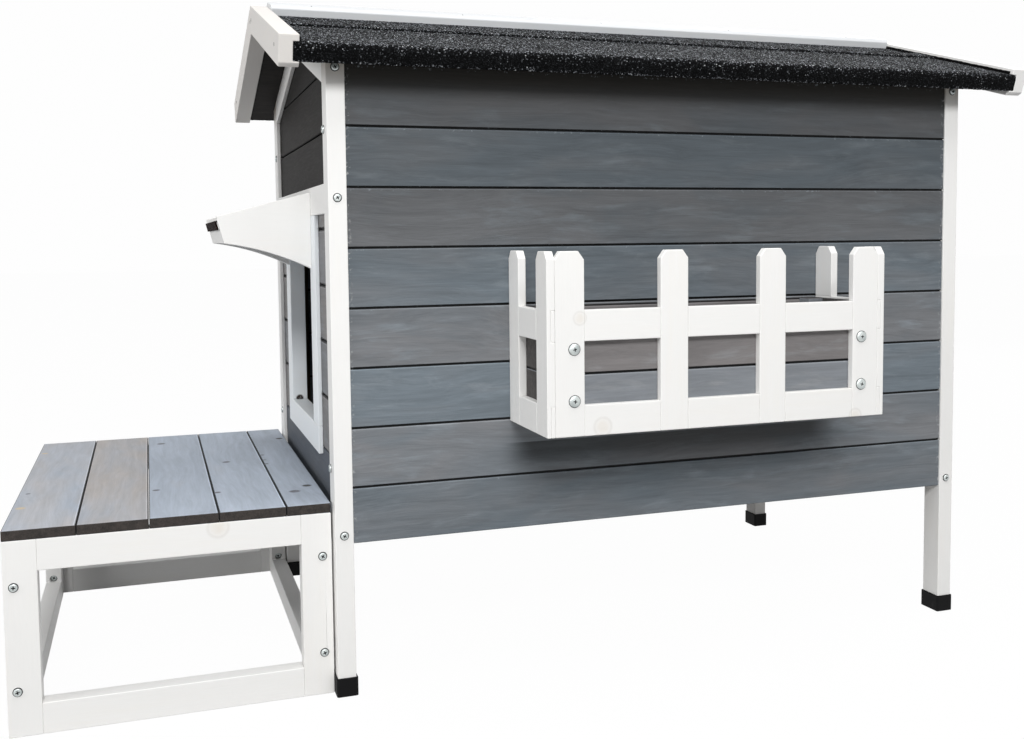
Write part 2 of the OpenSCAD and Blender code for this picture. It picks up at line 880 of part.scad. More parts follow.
// A bargeboard in the slope's local lines: grooved on its inner face for the roof's edge,
// its outer face at local X = 0, its lower corner at the eave cut off
module bargeboard() {
    difference() {
        translate([0, -barge_h, -barge_low_lip]) cube([barge_t, slope_l + barge_h, barge_h]);
        translate([barge_t - barge_groove, -2 * barge_h, -board_fit / 2])
            cube([barge_groove + cut, slope_l + 3 * barge_h, slab_t + board_fit]);
        translate([0, slope_l, -barge_low_lip]) rotate([45, 0, 0])
            cube([3 * barge_t, barge_cut * sqrt(2), barge_cut * sqrt(2)], center = true);
    }
}

module bargeboard_door_front() {
    color("white") placed() roof_side(-1) translate([-half_l - door_over, 0, 0]) bargeboard();
}

module bargeboard_door_back() {
    color("white") placed() roof_side(1) translate([-half_l - door_over, 0, 0]) bargeboard();
}

module bargeboard_far_front() {
    color("white") placed() roof_side(-1) translate([half_l + far_over, 0, 0]) mirror([1, 0, 0]) bargeboard();
}

module bargeboard_far_back() {
    color("white") placed() roof_side(1) translate([half_l + far_over, 0, 0]) mirror([1, 0, 0]) bargeboard();
}

// Hinges

knuckle_l = (hinge_l - 2 * knuckle_gap) / 3;
leaf_screw_at = leaf_l * 0.62;
leaf_screw_x = hinge_l * 0.35;

module at_hinges() {
    for (x = [-hinge_x, hinge_x]) translate([x, hinge_y, hinge_z]) children();
}

// A knuckle round the pin's line, from one place along it to another
module knuckle(x0, x1) {
    translate([x0, 0, 0]) rotate([0, 90, 0]) cylinder(r = knuckle_r, h = x1 - x0);
}

// One leaf with its pin along X, its plate hanging down -Z and resting on the plane Y = -hinge_off
module leaf(own) {
    rest = knuckle_r + knuckle_gap;
    difference() {
        union() {
            translate([-hinge_l / 2, -hinge_off, -leaf_l]) cube([hinge_l, leaf_t, leaf_l - rest]);
            for (span = own) {
                translate([span[0], -hinge_off, -rest - cut])
                    cube([span[1] - span[0], leaf_t, rest + cut]);
                knuckle(span[0], span[1]);
            }
        }
        translate([-hinge_l, 0, 0]) rotate([0, 90, 0]) cylinder(r = pin_r + pin_fit, h = 2 * hinge_l);
        for (x = [-leaf_screw_x, leaf_screw_x]) translate([x, -hinge_off + leaf_t, -leaf_screw_at])
            along_y(-1) screw_cut(hinge_off);
    }
}

// A countersunk screw with its flat top at the origin, pointing down
module sunk_screw(length, extra) {
    r = hinge_screw_r + extra;
    rotate_extrude() polygon([
        [0, -length], [r, -length], [r, -r], [2 * r, 0], [0, 0]
    ]);
}

module screw_cut(length) {
    sunk_screw(length, hole_fit);
    cylinder(r = 2 * (hinge_screw_r + hole_fit), h = cut);
}

side_span = [[-hinge_l / 2, -hinge_l / 2 + knuckle_l], [hinge_l / 2 - knuckle_l, hinge_l / 2]];
mid_span = [[-knuckle_l / 2, knuckle_l / 2]];

// Turns a leaf from the wall's face up to the roof's underside
module roof_leaf_turn() {
    rotate([90 - roof_angle, 0, 0]) mirror([0, 1, 0]) children();
}

module hinge_wall_leaves() {
    color("silver") placed() at_hinges() leaf(side_span);
}

module hinge_roof_leaves() {
    color("silver") placed() at_hinges() roof_leaf_turn() leaf(mid_span);
}

module hinge_pins() {
    color("silver") placed() at_hinges() translate([-hinge_l / 2, 0, 0]) rotate([0, 90, 0])
        cylinder(r = pin_r, h = hinge_l);
}

module at_leaf_screws() {
    for (x = [-leaf_screw_x, leaf_screw_x]) translate([x, -hinge_off + leaf_t, -leaf_screw_at])
        along_y(-1) children();
}

module hinge_wall_screw_holes() {
    at_hinges() at_leaf_screws() screw_cut(hinge_screw_l + hole_fit);
}

module hinge_roof_screw_holes() {
    at_hinges() roof_leaf_turn() at_leaf_screws() screw_cut(hinge_screw_l + hole_fit);
}

module hinge_roof_screws() {
    color("silver") placed() at_hinges() roof_leaf_turn() at_leaf_screws() sunk_screw(hinge_screw_l, 0);
}

// Flower box, with its front face at local Y = 0 and the wall's face at local Y = planter_d

fence_x = planter_l / 2 - picket_t;
upper_rail_z = picket_rail_top - rail_w;
picket_pitch = (2 * fence_x - picket_w) / (picket_n - 1);
liner_front = picket_t;
box_front = liner_front + liner_t;
box_back = planter_d - liner_t;
planter_batten_x = fence_x - liner_t - batten_w / 2;
front_grip = box_front + batten_w;
back_grip = batten_w + liner_t + board_t;
planter_bolt_x = planter_batten_x - bolt_inset;
lap = picket_t / 2;

module at_planter() {
    translate([0, -wall_face - planter_d, planter_z]) children();
}

// A picket with clipped top corners, its outer face towards -Y
module picket() {
    rotate([90, 0, 0]) translate([0, 0, -picket_t]) linear_extrude(height = picket_t) polygon([
        [0, 0], [picket_w, 0], [picket_w, picket_h - clip_h], [picket_w - clip_w, picket_h],
        [clip_w, picket_h], [0, picket_h - clip_h]
    ]);
}

// Half laps where the rails cross behind the pickets
module rail_laps(length, depth_from, depth) {
    for (z = [0, upper_rail_z])
        translate([-length, depth_from, z]) cube([2 * length, depth, rail_w]);
}

module at_front_pickets() {
    for (i = [0:picket_n - 1]) translate([-fence_x + i * picket_pitch, 0, 0]) children();
}

module planter_front_pickets() {
    color("white") placed() at_planter() difference() {
        at_front_pickets() picket();
        rail_laps(planter_l, lap, picket_t);
        planter_holes();
    }
}

module planter_front_rails() {
    color("white") placed() at_planter() difference() {
        for (z = [0, upper_rail_z]) translate([-fence_x, 0, z]) cube([2 * fence_x, picket_t, rail_w]);
        at_front_pickets() translate([0, -cut, -cut]) cube([picket_w, lap + cut, picket_h]);
    }
}

// Turns a piece of the front fence into one of the side at +X, its outer face towards +X
module at_side(side) {
    mirror([side < 0 ? 1 : 0, 0, 0]) translate([planter_l / 2, 0, 0]) rotate([0, 0, 90]) children();
}

module side_picket_places() {
    for (y = [0, planter_d - picket_w]) translate([y, 0, 0]) children();
}

module planter_side_pickets() {
    color("white") placed() at_planter() for (side = [-1, 1]) at_side(side) difference() {
        side_picket_places() picket();
        rail_laps(planter_l, lap, picket_t);
    }
}

module planter_side_rails() {
    color("white") placed() at_planter() for (side = [-1, 1]) at_side(side) difference() {
        for (z = [0, upper_rail_z]) translate([0, 0, z]) cube([planter_d, picket_t, rail_w]);
        side_picket_places() translate([0, -cut, -cut]) cube([picket_w, lap + cut, picket_h]);
    }
}

liner_edges = [0, board_pitch, 2 * board_pitch];

// Liner boards behind the fence: front and back run through, the ends fit between
module planter_liner() {
    end_l = box_back - box_front - 2 * board_fit;
    color("slategray") placed() at_planter() difference() {
        union() {
            translate([0, liner_front, 0]) boards_x(liner_edges, 2 * fence_x);
            translate([0, planter_d, 0]) mirror([0, 1, 0]) boards_x(liner_edges, 2 * fence_x);
            for (side = [-1, 1]) mirror([side > 0 ? 1 : 0, 0, 0])
                translate([-fence_x, (box_front + box_back) / 2, 0]) boards_y(liner_edges, end_l, 0, 1);
        }
        planter_holes();
    }
}

module planter_base() {
    inside = fence_x - liner_t - board_fit;
    half_d = (box_back - box_front) / 2;
    color("slategray") placed() at_planter() for (y = [box_front, box_front + half_d])
        translate([-inside, y + board_fit / 2, 0]) cube([2 * inside, half_d - board_fit, liner_t]);
}

module planter_battens() {
    color("burlywood") placed() at_planter() difference() {
        for (side = [-1, 1]) for (y = [box_front, box_back - batten_w])
            translate([side * planter_batten_x - batten_w / 2, y, liner_t])
                cube([batten_w, batten_w, 2 * board_pitch - liner_t - board_fit]);
        planter_holes();
    }
}

// Bolt places on a plane across the box, pointing to the house
module at_planter_bolts(y) {
    for (x = [-planter_bolt_x, planter_bolt_x]) for (z = [bolt_low, bolt_high])
        translate([x, y, z]) along_y(1) children();
}

module planter_holes() {
    at_planter_bolts(planter_d + 2 * board_t)
        cylinder(r = bolt_r + hole_fit, h = planter_d + 3 * board_t);
}

// The holes as the house wall has them
module planter_bolt_holes() {
    at_planter() planter_holes();
}

module bolt_and_nut(grip) {
    dome_bolt(grip + nut_h + bolt_end);
    translate([0, 0, -grip - nut_h]) hex_nut();
}

// Through the front pickets, and from inside the box through the house wall
module planter_bolts() {
    color("silver") placed() at_planter() {
        at_planter_bolts(0) bolt_and_nut(front_grip);
        at_planter_bolts(box_back - batten_w) bolt_and_nut(back_grip);
    }
}

// Porch

leg_h = porch_h - deck_t;
porch_front = half_w - porch_inset;
porch_back = half_w + porch_past;
porch_x0 = -half_l - porch_l;
porch_x1 = -half_l - cap_wall - cap_fit - porch_gap;
inner_front = -porch_front + porch_t;
inner_back = porch_back - porch_t;
porch_screw_l = porch_t + screw_hold;

module porch_deck_boards() {
    step = deck_board_w + deck_gap;
    color("gray") placed() for (x = [porch_x0:step:porch_x1 - deck_gap])
        translate([x, -porch_front, leg_h])
            cube([min(deck_board_w, porch_x1 - x), porch_front + porch_back, deck_t]);
}

module at_porch_screws() {
    for (x = [porch_x0 + porch_t / 2, porch_x1 - porch_t / 2])
        for (z = [porch_screw_low, porch_screw_high]) {
            translate([x, -porch_front, z]) along_y(1) children();
            translate([x, porch_back, z]) along_y(-1) children();
        }
}

// Front and back frames: wide legs with the rails between them
module porch_legs() {
    color("white") placed() difference() {
        for (x = [porch_x0, porch_x1 - porch_w]) for (y = [-porch_front, inner_back])
            translate([x, y, 0]) cube([porch_w, porch_t, leg_h]);
        at_porch_screws() screw_hole(porch_screw_l);
        at_inner_screws() screw_hole(inner_screw_l);
    }
}

module porch_rails() {
    color("white") placed() for (y = [-porch_front, inner_back]) for (z = [0, leg_h - porch_w])
        translate([porch_x0 + porch_w, y, z]) cube([porch_x1 - porch_x0 - 2 * porch_w, porch_t, porch_w]);
}

inner_screw_l = porch_w - counterbore_d + batten_hold;

// Counterbored screws from the inner legs out into the front and back legs
module at_inner_screws() {
    for (x = [porch_x0 + porch_t / 2, porch_x1 - porch_t / 2]) {
        translate([x, inner_front + porch_w - counterbore_d, counterbore_z]) along_y(-1) children();
        translate([x, inner_back - porch_w + counterbore_d, counterbore_z]) along_y(1) children();
    }
}

// Inner legs behind the front and back frames
module porch_side_legs() {
    color("white") placed() difference() {
        for (x = [porch_x0, porch_x1 - porch_t]) for (y = [inner_front, inner_back - porch_w])
            translate([x, y, 0]) cube([porch_t, porch_w, leg_h]);
        at_porch_screws() screw_hole(porch_screw_l);
        at_inner_screws() screw_hole(inner_screw_l);
        at_inner_screws() cylinder(r = counterbore_r, h = counterbore_d + cut);
    }
}

module porch_side_rails() {
    y0 = inner_front + porch_w;
    y1 = inner_back - porch_w;
    color("white") placed() for (x = [porch_x0, porch_x1 - porch_t]) {
        translate([x, y0, 0]) cube([porch_t, y1 - y0, side_rail_w]);
        translate([x, y0, leg_h - porch_w]) cube([porch_t, y1 - y0, porch_w]);
    }
}

// Every pan head screw, and the countersunk ones of the wall leaves
module frame_screws() {
    color("silver") placed() {
        for (side = [-1, 1]) {
            at_post_screws(side) pan_screw(post_screw_l);
            at_batten_screws(side) pan_screw(batten_screw_l);
        }
        at_porch_screws() pan_screw(porch_screw_l);
        at_inner_screws() pan_screw(inner_screw_l);
        at_hinges() at_leaf_screws() sunk_screw(hinge_screw_l, 0);
    }
}

post_door_front();
post_door_back();
post_far_front();
post_far_back();
foot_caps();
front_wall_boards();
back_wall_boards();
wall_battens();
door_gable_boards();
door_side_boards_front();
door_side_boards_back();
door_base_board();
door_mid_rail();
door_bottom_rail();
door_rafter_front();
door_rafter_back();
far_gable_boards();
far_bottom_rail();
far_rafter_front();
far_rafter_back();
door_sill();
door_stile_front();
door_stile_back();
door_head();
canopy_cheek_front();
canopy_cheek_back();
canopy_top_board();
canopy_felt();
canopy_front_board();
floor_boards();
floor_bearers();
roof_board_front();
roof_board_back();
roof_battens();
shingles_front();
shingles_back();
ridge_cap_front();
ridge_cap_back();
bargeboard_door_front();
bargeboard_door_back();
bargeboard_far_front();
bargeboard_far_back();
hinge_wall_leaves();
hinge_roof_leaves();
hinge_pins();
hinge_roof_screws();
planter_front_pickets();
planter_side_pickets();
planter_front_rails();
planter_side_rails();
planter_liner();
planter_base();
planter_battens();
planter_bolts();
porch_deck_boards();
porch_legs();
porch_rails();
porch_side_legs();
porch_side_rails();
frame_screws();
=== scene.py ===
"""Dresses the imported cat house: stained and painted timber, granule shingles, screw heads,
nail heads, and a plain studio with the photograph's camera."""

import math
import random

import bpy
from mathutils import Matrix, Vector


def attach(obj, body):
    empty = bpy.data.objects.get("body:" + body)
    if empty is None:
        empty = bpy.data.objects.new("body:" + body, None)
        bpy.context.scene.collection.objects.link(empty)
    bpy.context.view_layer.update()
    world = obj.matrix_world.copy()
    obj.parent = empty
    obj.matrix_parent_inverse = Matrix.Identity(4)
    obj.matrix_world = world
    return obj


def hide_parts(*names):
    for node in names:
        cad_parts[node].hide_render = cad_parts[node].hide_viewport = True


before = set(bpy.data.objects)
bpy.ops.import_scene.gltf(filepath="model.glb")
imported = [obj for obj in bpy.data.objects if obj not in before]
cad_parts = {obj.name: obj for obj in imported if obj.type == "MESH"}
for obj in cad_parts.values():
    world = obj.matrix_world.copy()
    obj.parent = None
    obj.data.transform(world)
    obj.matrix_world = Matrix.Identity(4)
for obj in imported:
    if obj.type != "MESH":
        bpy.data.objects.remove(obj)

bl_info = {
    "name": "Cat house",
    "version": (1, 0, 0),
    "blender": (4, 5, 0),
    "location": "View3D > Sidebar > Cat house",
    "description": "Finishes a cat house with stained boards, painted timber and granule shingles",
    "category": "Object",
}

# The middle of the house in the model, in metres
SHIFT = Vector((0.146, 0.0426, 0.0))

# The photograph's size, in pixels
IMAGE_W, IMAGE_H = 1024, 739

# The walls' boards, in metres: their lowest seam, pitch, half length and the dark line of painted
# shade in a seam, and the height of the eave over them
WALL_FOOT, WALL_PITCH, WALL_HALF, WALL_SEAM = 0.2553, 0.072, 0.4285, 0.0032
EAVE_Z = 0.757

# The roof, in millimetres: the ridge of its underside, its thickness, how far the shingles run
# down the slope, and the bargeboards' outer faces and inner lips
RIDGE_Z, SLAB_T, EAVE_DOWN = 843.18, 22.0, 322.8
DOOR_END_X, FAR_END_X = -509.0, 524.73
DOOR_LIP_X, FAR_LIP_X = -486, 502
SLOPE_SIN, SLOPE_COS = math.sin(math.radians(16.5)), math.cos(math.radians(16.5))

# The deck's top, the flower box's lowest edge and the two faces under its bolts, in millimetres
DECK_Z = 235.5
BOX_LOW, BOX_FRONT, BOX_BACK = 323.5, -400.0, -297.5

# Tints that the finishes put over their own colour; EAVE_SHADE is painted shade under the eave
EAVE_SHADE, CHIPPED_STAIN = (0.011, 0.0095, 0.007), (0.42, 0.43, 0.43)
YELLOWED, SCUFFED, BARE_SPOT = (0.80, 0.74, 0.65), (0.50, 0.46, 0.41), (0.035, 0.024, 0.02)
KNOT, KNOT_RIM = (0.60, 0.50, 0.36), (0.40, 0.36, 0.31)
DUST, GRIME, DULL_ZINC = (0.05, 0.048, 0.046), (0.04, 0.04, 0.04), (0.44, 0.48, 0.48)


def house(x, y, z):
    """A place in the house's own lines, in millimetres, as a place in the model, in metres."""
    return Vector((x, y, z)) / 1000 + SHIFT


def srgb(r, g, b):
    """A colour as a screen shows it, 0 to 255, as the linear colour that materials take."""
    def linear(v):
        v = v / 255
        return v / 12.92 if v <= 0.04045 else ((v + 0.055) / 1.055) ** 2.4
    return (linear(r), linear(g), linear(b))


# Materials


class Sock:
    """A socket in a material, on which sums are written as plain Python."""

    def __init__(self, paint, socket):
        self.paint = paint
        self.socket = socket

    def math(self, operation, *values, clamp=False):
        settings = {"operation": operation, "use_clamp": clamp}
        return self.paint.node("ShaderNodeMath", settings, values)

    def __add__(self, other):
        return self.math("ADD", self, other)

    __radd__ = __add__

    def __sub__(self, other):
        return self.math("SUBTRACT", self, other)

    def __rsub__(self, other):
        return self.math("SUBTRACT", other, self)

    def __mul__(self, other):
        return self.math("MULTIPLY", self, other)

    __rmul__ = __mul__

    def __truediv__(self, other):
        return self.math("DIVIDE", self, other)

    def __abs__(self):
        return self.math("ABSOLUTE", self)

    def floor(self):
        return self.math("FLOOR", self)

    def fraction(self):
        return self.math("FRACT", self)

    def clamp(self):
        return self.math("ADD", self, 0.0, clamp=True)

    def above(self, value):
        return self.math("GREATER_THAN", self, value)

    def below(self, value):
        return self.math("LESS_THAN", self, value)

    def larger(self, other):
        return self.math("MAXIMUM", self, other)

    def smooth(self, low, high):
        """0 under low, 1 over high and a soft step between them."""
        return self.paint.node(
            "ShaderNodeMapRange", {"interpolation_type": "SMOOTHSTEP"},
            {"Value": self, "From Min": low, "From Max": high},
        )


class Paint:
    """The nodes of one procedural material, or of the world."""

    def __init__(self, holder):
        self.holder = holder
        holder.use_nodes = True
        self.tree = holder.node_tree
        self.tree.nodes.clear()

    def node(self, kind, settings, values, output=0):
        """Adds a node with its settings and its sockets' values or links, and gives one output."""
        made = self.tree.nodes.new(kind)
        for key, value in settings.items():
            setattr(made, key, value)
        for key, value in (values.items() if isinstance(values, dict) else enumerate(values)):
            socket = made.inputs[key]
            if isinstance(value, Sock):
                self.tree.links.new(value.socket, socket)
            elif hasattr(value, "__len__"):
                opaque = (1,) if len(socket.default_value) > len(value) else ()
                socket.default_value = (*value, *opaque)
            else:
                socket.default_value = value
        return Sock(self, made.outputs[output]) if made.outputs else None

    def mix(self, first, second, share):
        """One colour going over into another by a share from 0 to 1."""
        return self.node("ShaderNodeMix", {"data_type": "RGBA"}, {0: share, 6: first, 7: second}, 2)

    def times(self, colour, amount):
        """A colour made lighter or darker by a number."""
        return self.on_vectors("SCALE", {0: colour, "Scale": amount})

    def on_vectors(self, operation, values, output=0):
        return self.node("ShaderNodeVectorMath", {"operation": operation}, values, output)

    def vector(self, x, y, z):
        return self.node("ShaderNodeCombineXYZ", {}, [x, y, z])

    def stretch(self, scale, offset=(0, 0, 0)):
        """The place on the piece, stretched and shifted."""
        return self.on_vectors("MULTIPLY_ADD", [self.place, scale, offset])

    def noise(self, at, scale, detail=2.0, rough=0.5, bend=0.0):
        """Clouds of numbers round a half."""
        return self.node("ShaderNodeTexNoise", {}, {
            "Vector": at, "Scale": scale, "Detail": detail, "Roughness": rough, "Distortion": bend,
        }, "Fac")

    def chance(self, seed):
        """A number from 0 to 1 that is drawn by chance for each seed."""
        return self.node("ShaderNodeTexWhiteNoise", {"noise_dimensions": "1D"}, {"W": seed})

    def cells(self, at, scale, output="Distance"):
        """Grains that lie close together: the way from a grain's middle, or its colour."""
        return self.node("ShaderNodeTexVoronoi", {}, {"Vector": at, "Scale": scale}, output)

    def spot(self, centre, radius, soft=0.5):
        """A round spot that is 1 at its centre and falls off to 0 at its radius."""
        gap = self.on_vectors("DISTANCE", [self.place, centre], 1)
        return 1 - gap.smooth(radius * (1 - soft), radius)

    def bump(self, height, depth, strength=1.0):
        """Relief that rises by a depth in metres where its height goes from 0 to 1."""
        values = {"Height": height, "Distance": depth, "Strength": strength}
        return self.node("ShaderNodeBump", {}, values)

    def background_rays(self):
        """1 for the rays on which the camera, metal or glass shows the background."""
        camera, glossy, through = (
            self.node("ShaderNodeLightPath", {}, {}, ray)
            for ray in ("Is Camera Ray", "Is Glossy Ray", "Is Transmission Ray"))
        return camera.larger(glossy).larger(through)

    def finish(self, base, roughness, normal, metallic=0.0, specular=0.5):
        """Ends a material in one surface shader and gives the material."""
        shader = self.node("ShaderNodeBsdfPrincipled", {}, {
            "Base Color": base, "Roughness": roughness, "Metallic": metallic,
            "Specular IOR Level": specular, "Normal": normal,
        })
        self.node("ShaderNodeOutputMaterial", {}, {"Surface": shader})
        return self.holder


class Finish(Paint):
    """A material that reads the place on the piece. One that is asked for again is made anew."""

    def __init__(self, name):
        super().__init__(bpy.data.materials.get(name) or bpy.data.materials.new(name))
        self.place = self.node("ShaderNodeTexCoord", {}, {}, "Object")
        self.x, self.y, self.z = self.places = self.parts(self.place)

    def parts(self, vector):
        """The three numbers of a vector."""
        return [self.node("ShaderNodeSeparateXYZ", {}, [vector], axis) for axis in range(3)]

    def facing(self):
        """The direction that the surface looks in."""
        return self.parts(self.node("ShaderNodeTexCoord", {}, {}, "Normal"))


def drawn_out(along, share):
    """A stretch that keeps the two axes across the grain and takes a share of the one along it."""
    return tuple(share if axis == along else 1.0 for axis in range(3))


def grain(paint, along, board):
    """Fine streaks, flamed lines and broad clouds along one axis, each board with its own."""
    offset = paint.vector(board * 3.17, board * 1.73, board * 2.41)
    sway = paint.noise(paint.stretch(drawn_out(along, 0.3), offset), 11, 2)
    bent = paint.vector(*(
        place * 0.05 if axis == along else place + (sway - 0.5) * 0.05
        for axis, place in enumerate(paint.places)))
    shifted = paint.on_vectors("ADD", [bent, offset])
    streaks = paint.noise(shifted, 520, 4, 0.65)
    flames = paint.noise(shifted, 130, 5, 0.62, 0.25)
    clouds = paint.noise(paint.stretch(drawn_out(along, 0.3), offset), 17, 3, 0.55, 0.7)
    return streaks, flames, clouds


def sawn_ends(paint, colour, ends, axis):
    """Puts rough end grain, in a dark and a light tone, on the faces that look along one axis."""
    mask = abs(paint.facing()[axis]).smooth(0.6, 0.9)
    pores = paint.noise(paint.place, 620, 5, 0.75)
    patches = paint.noise(paint.place, 150, 3, 0.6)
    cut = paint.mix(ends[0], ends[1], (pores * 1.5 + patches - 0.85).clamp())
    return paint.mix(colour, cut, mask)


def stained_wood(name, tones, along, boards, ends, *, light=1.0, seams=0.0, contrast=1.0, wear=0.6,
                 specular=0.3, warm=None, dusk=None, eave=None, shadow_field=None, outer=None, chips=None,
                 marks=()):
    """Wood under a thin stain: its grain and clouds, a tone for each board and a worn surface.

    tones are the cool, the warm and the worn one, boards the axis across the boards, their lowest
    edge and their pitch, and seams the width of the dark line of painted shade in a seam, which has
    a painted highlight under it. Cool and warm boards take turns, or one board alone is the warm
    one. dusk paints shade between two heights, down to a share of its light, eave puts a band of
    painted shade under a height, and shadow_field paints a shadow on a field between two ends and
    two heights. Where outer names the axis that the outer face looks against, these three and
    light show on that face alone. chips is the boards' middle and half length, for stain lost at
    their ends, and marks are places, radii and tints of round spots.
    """
    paint = Finish(name)
    across, first, pitch = boards
    run = (paint.places[across] - first) / pitch
    board = run.floor()
    part = run.fraction() * pitch
    streaks, flames, clouds = grain(paint, along, board)

    # The tone of each board, its clouds and the places where the stain is thin
    if warm is None:
        warmth = paint.chance(board * 1.37 + 0.4) * 0.4 + ((board + 1) * 0.5).fraction() * 1.1
    else:
        warmth = (1 - abs(board - warm)).clamp() * 1.6 - 0.2
    share = (warmth * 1.1 - 0.05 + (clouds - 0.5) * 2.4 * contrast).clamp()
    colour = paint.mix(tones[0], tones[1], share)
    worn = paint.noise(paint.stretch(drawn_out(along, 0.22)), 60, 5, 0.62, 0.4)
    colour = paint.mix(colour, tones[2], (worn.smooth(0.5, 0.76) * wear).clamp())

    # Tone and painted shade: light scales the tone, dusk paints shade between two heights and the
    # shadow field paints the flower box's shadow, all on the outer face alone where outer is given
    seen = 1.0
    if outer is not None:
        seen = paint.facing()[outer].below(-0.5) * paint.places[outer].below(0)
    tone_and_shade = light
    if dusk is not None:
        low, high, least = dusk
        tone_and_shade = light * (1 - paint.z.smooth(low, high) * (1 - least))
    # The flower box's painted shadow on the wall under it
    if shadow_field is not None:
        left, right, low, high = shadow_field
        inside = paint.x.smooth(left - 0.03, left + 0.02)
        inside = inside * (1 - paint.x.smooth(right - 0.02, right + 0.03))
        inside = inside * paint.z.smooth(low, high) * paint.z.below(high + 0.01)
        tone_and_shade = tone_and_shade * (1 - inside * 0.73)
    figure = (streaks - 0.5) * 0.34 + (flames - 0.5) * 0.72 + (clouds - 0.5) * 0.4
    depth = paint.chance(board * 2.11 + 7.3)
    shade = (0.9 + depth * 0.2) * (1.01 + figure * contrast) * (1 - seen * (1 - tone_and_shade))
    # Seams: a dark line of painted shade in each gap, and a painted highlight on the bevel under it
    if seams:
        top = pitch - seams * 0.66
        lip = part.smooth(top - 0.0016, top - 0.0012) * part.below(top)
        gap = part.above(top).larger(part.below(seams * 0.34))
        shade = shade * (1 + lip * 0.35) * (1 - gap * 0.94)
    colour = paint.times(colour, shade)
    # A band of painted shade under the eave, on the outer face
    if eave is not None:
        under = paint.z.smooth(eave - 0.053, eave - 0.007) * seen
        colour = paint.mix(colour, EAVE_SHADE, under * 0.95)

    # Chips, marks and the end grain
    flecks = paint.noise(paint.place, 210, 4, 0.7)
    if chips is not None:
        middle, reach = chips
        edge = abs(paint.places[along] - middle).smooth(reach - 0.007, reach - 0.001)
        chipped = (edge * flecks.smooth(0.54, 0.66) * 0.6).clamp()
        colour = paint.mix(colour, CHIPPED_STAIN, chipped)
        rim = (abs(part / pitch - 0.47) * 2).smooth(0.9, 0.96) * part.below(pitch - 0.0022)
        colour = paint.mix(colour, tones[2], (rim * flecks.smooth(0.58, 0.7) * 0.9).clamp())
    for centre, radius, tint in marks:
        torn = paint.noise(paint.place, 300, 3) * 0.8 + 0.6
        colour = paint.mix(colour, tint, (paint.spot(centre, radius) * torn).clamp())
    colour = sawn_ends(paint, colour, ends, along)
    relief = paint.bump(streaks * 0.6 + flames * 0.8 + flecks * 0.1, 0.0006, 0.6)
    return paint.finish(colour, 0.5 + streaks * 0.2, relief, specular=specular)


def white_paint(name, colour, along, *, knots=(), dusk=None, scar=None):
    """Opaque white paint over planed wood: faint grain, brush marks and scuffs.

    knots are places and radii of knots that show through, dusk brings in a tint of painted shade
    between two heights, and scar is the place and radius of a spot where the paint is torn off.
    """
    paint = Finish(name)
    streaks, flames, clouds = grain(paint, along, (paint.places[(along + 1) % 3] * 9).floor())
    brush = paint.noise(paint.stretch(drawn_out(along, 0.015)), 900, 2)
    yellow = ((clouds - 0.5) * 0.45 + (flames - 0.5) * 0.3).clamp()
    tone = paint.mix(colour, YELLOWED, yellow)
    tone = paint.times(tone, 0.955 + streaks * 0.04 + (clouds - 0.5) * 0.04)
    height = streaks * 0.6 + brush * 0.4
    for centre, radius in knots:
        torn = paint.noise(paint.place, 120, 3, 0.6) * 0.9 + 0.4
        mask = (paint.spot(centre, radius, 0.75) * torn).clamp()
        rim = paint.spot(centre, radius * 1.08, 0.2) - paint.spot(centre, radius * 0.82, 0.2)
        tone = paint.mix(tone, KNOT, mask * 0.24)
        tone = paint.mix(tone, KNOT_RIM, (rim * torn * 0.17).clamp())
        height = height + mask * 0.4
    scuff = paint.noise(paint.place, 75, 6, 0.7)
    tone = paint.mix(tone, SCUFFED, (scuff.smooth(0.7, 0.8) * 0.3).clamp())
    # Painted shade: a tint between two heights
    if dusk is not None:
        low, high, tint = dusk
        tone = paint.mix(tone, tint, paint.z.smooth(low, high))
    if scar is not None:
        centre, radius = scar
        torn = paint.noise(paint.place, 420, 3, 0.6).smooth(0.3, 0.46)
        tone = paint.mix(tone, BARE_SPOT, (paint.spot(centre, radius, 0.6) * torn * 1.6).clamp())
    relief = paint.bump(height, 0.00025, 0.5)
    return paint.finish(tone, 0.38 + streaks * 0.16, relief, specular=0.35)


def granules(name, dark, light, sparkle):
    """Crushed stone pressed into felt: close dark grains, many grey ones and a few that glitter.

    It is darker where it stands steep, as painted shade, but less so on the fold over the eave.
    """
    paint = Finish(name)
    drawn = paint.stretch((1, 0.5, 1))
    gap = paint.cells(drawn, 720)
    kind, other = (
        paint.node("ShaderNodeSeparateColor", {}, [paint.cells(drawn, 720, "Color")], channel)
        for channel in (0, 1))
    small = paint.noise(paint.place, 1500, 3, 0.75)
    cloud = paint.noise(paint.place, 21, 4, 0.6)
    fold = paint.z.smooth(EAVE_Z, EAVE_Z + 0.015)
    # Steep faces get painted shade: fewer pale grains, darker tones and wider dark pits
    steep = (1 - abs(paint.facing()[2]).smooth(0.25, 0.85)) * (1 - fold * 0.5)
    lit = (kind + (cloud - 0.5) * 0.5 - steep * 0.31).smooth(0.66, 0.76)
    tone = (0.25 + other * 0.75) * (1 - steep * (1 - other) * 0.8)
    share = (lit * tone + (small - 0.5) * 0.2 + kind * kind * 0.08).clamp()
    base = paint.mix(dark, light, share)
    base = paint.mix(base, sparkle, lit * other.smooth(0.88, 0.97))
    pits = (gap + steep * 0.16).smooth(0.42, 0.75) * 0.9
    base = paint.mix(base, paint.times(dark, 0.3), pits)
    relief = paint.bump((1 - gap) * 0.8 + small * 0.4 + kind * 0.5, 0.0018)
    return paint.finish(base, 0.6 + small * 0.3, relief, specular=0.05)


def shingle_stone(context):
    """The granules of the roof's shingles."""
    tints = context.scene.cat_house_colours
    return granules("shingle_granules", tuple(tints.shingle_dark), tuple(tints.shingle_light),
                    srgb(214, 217, 220))


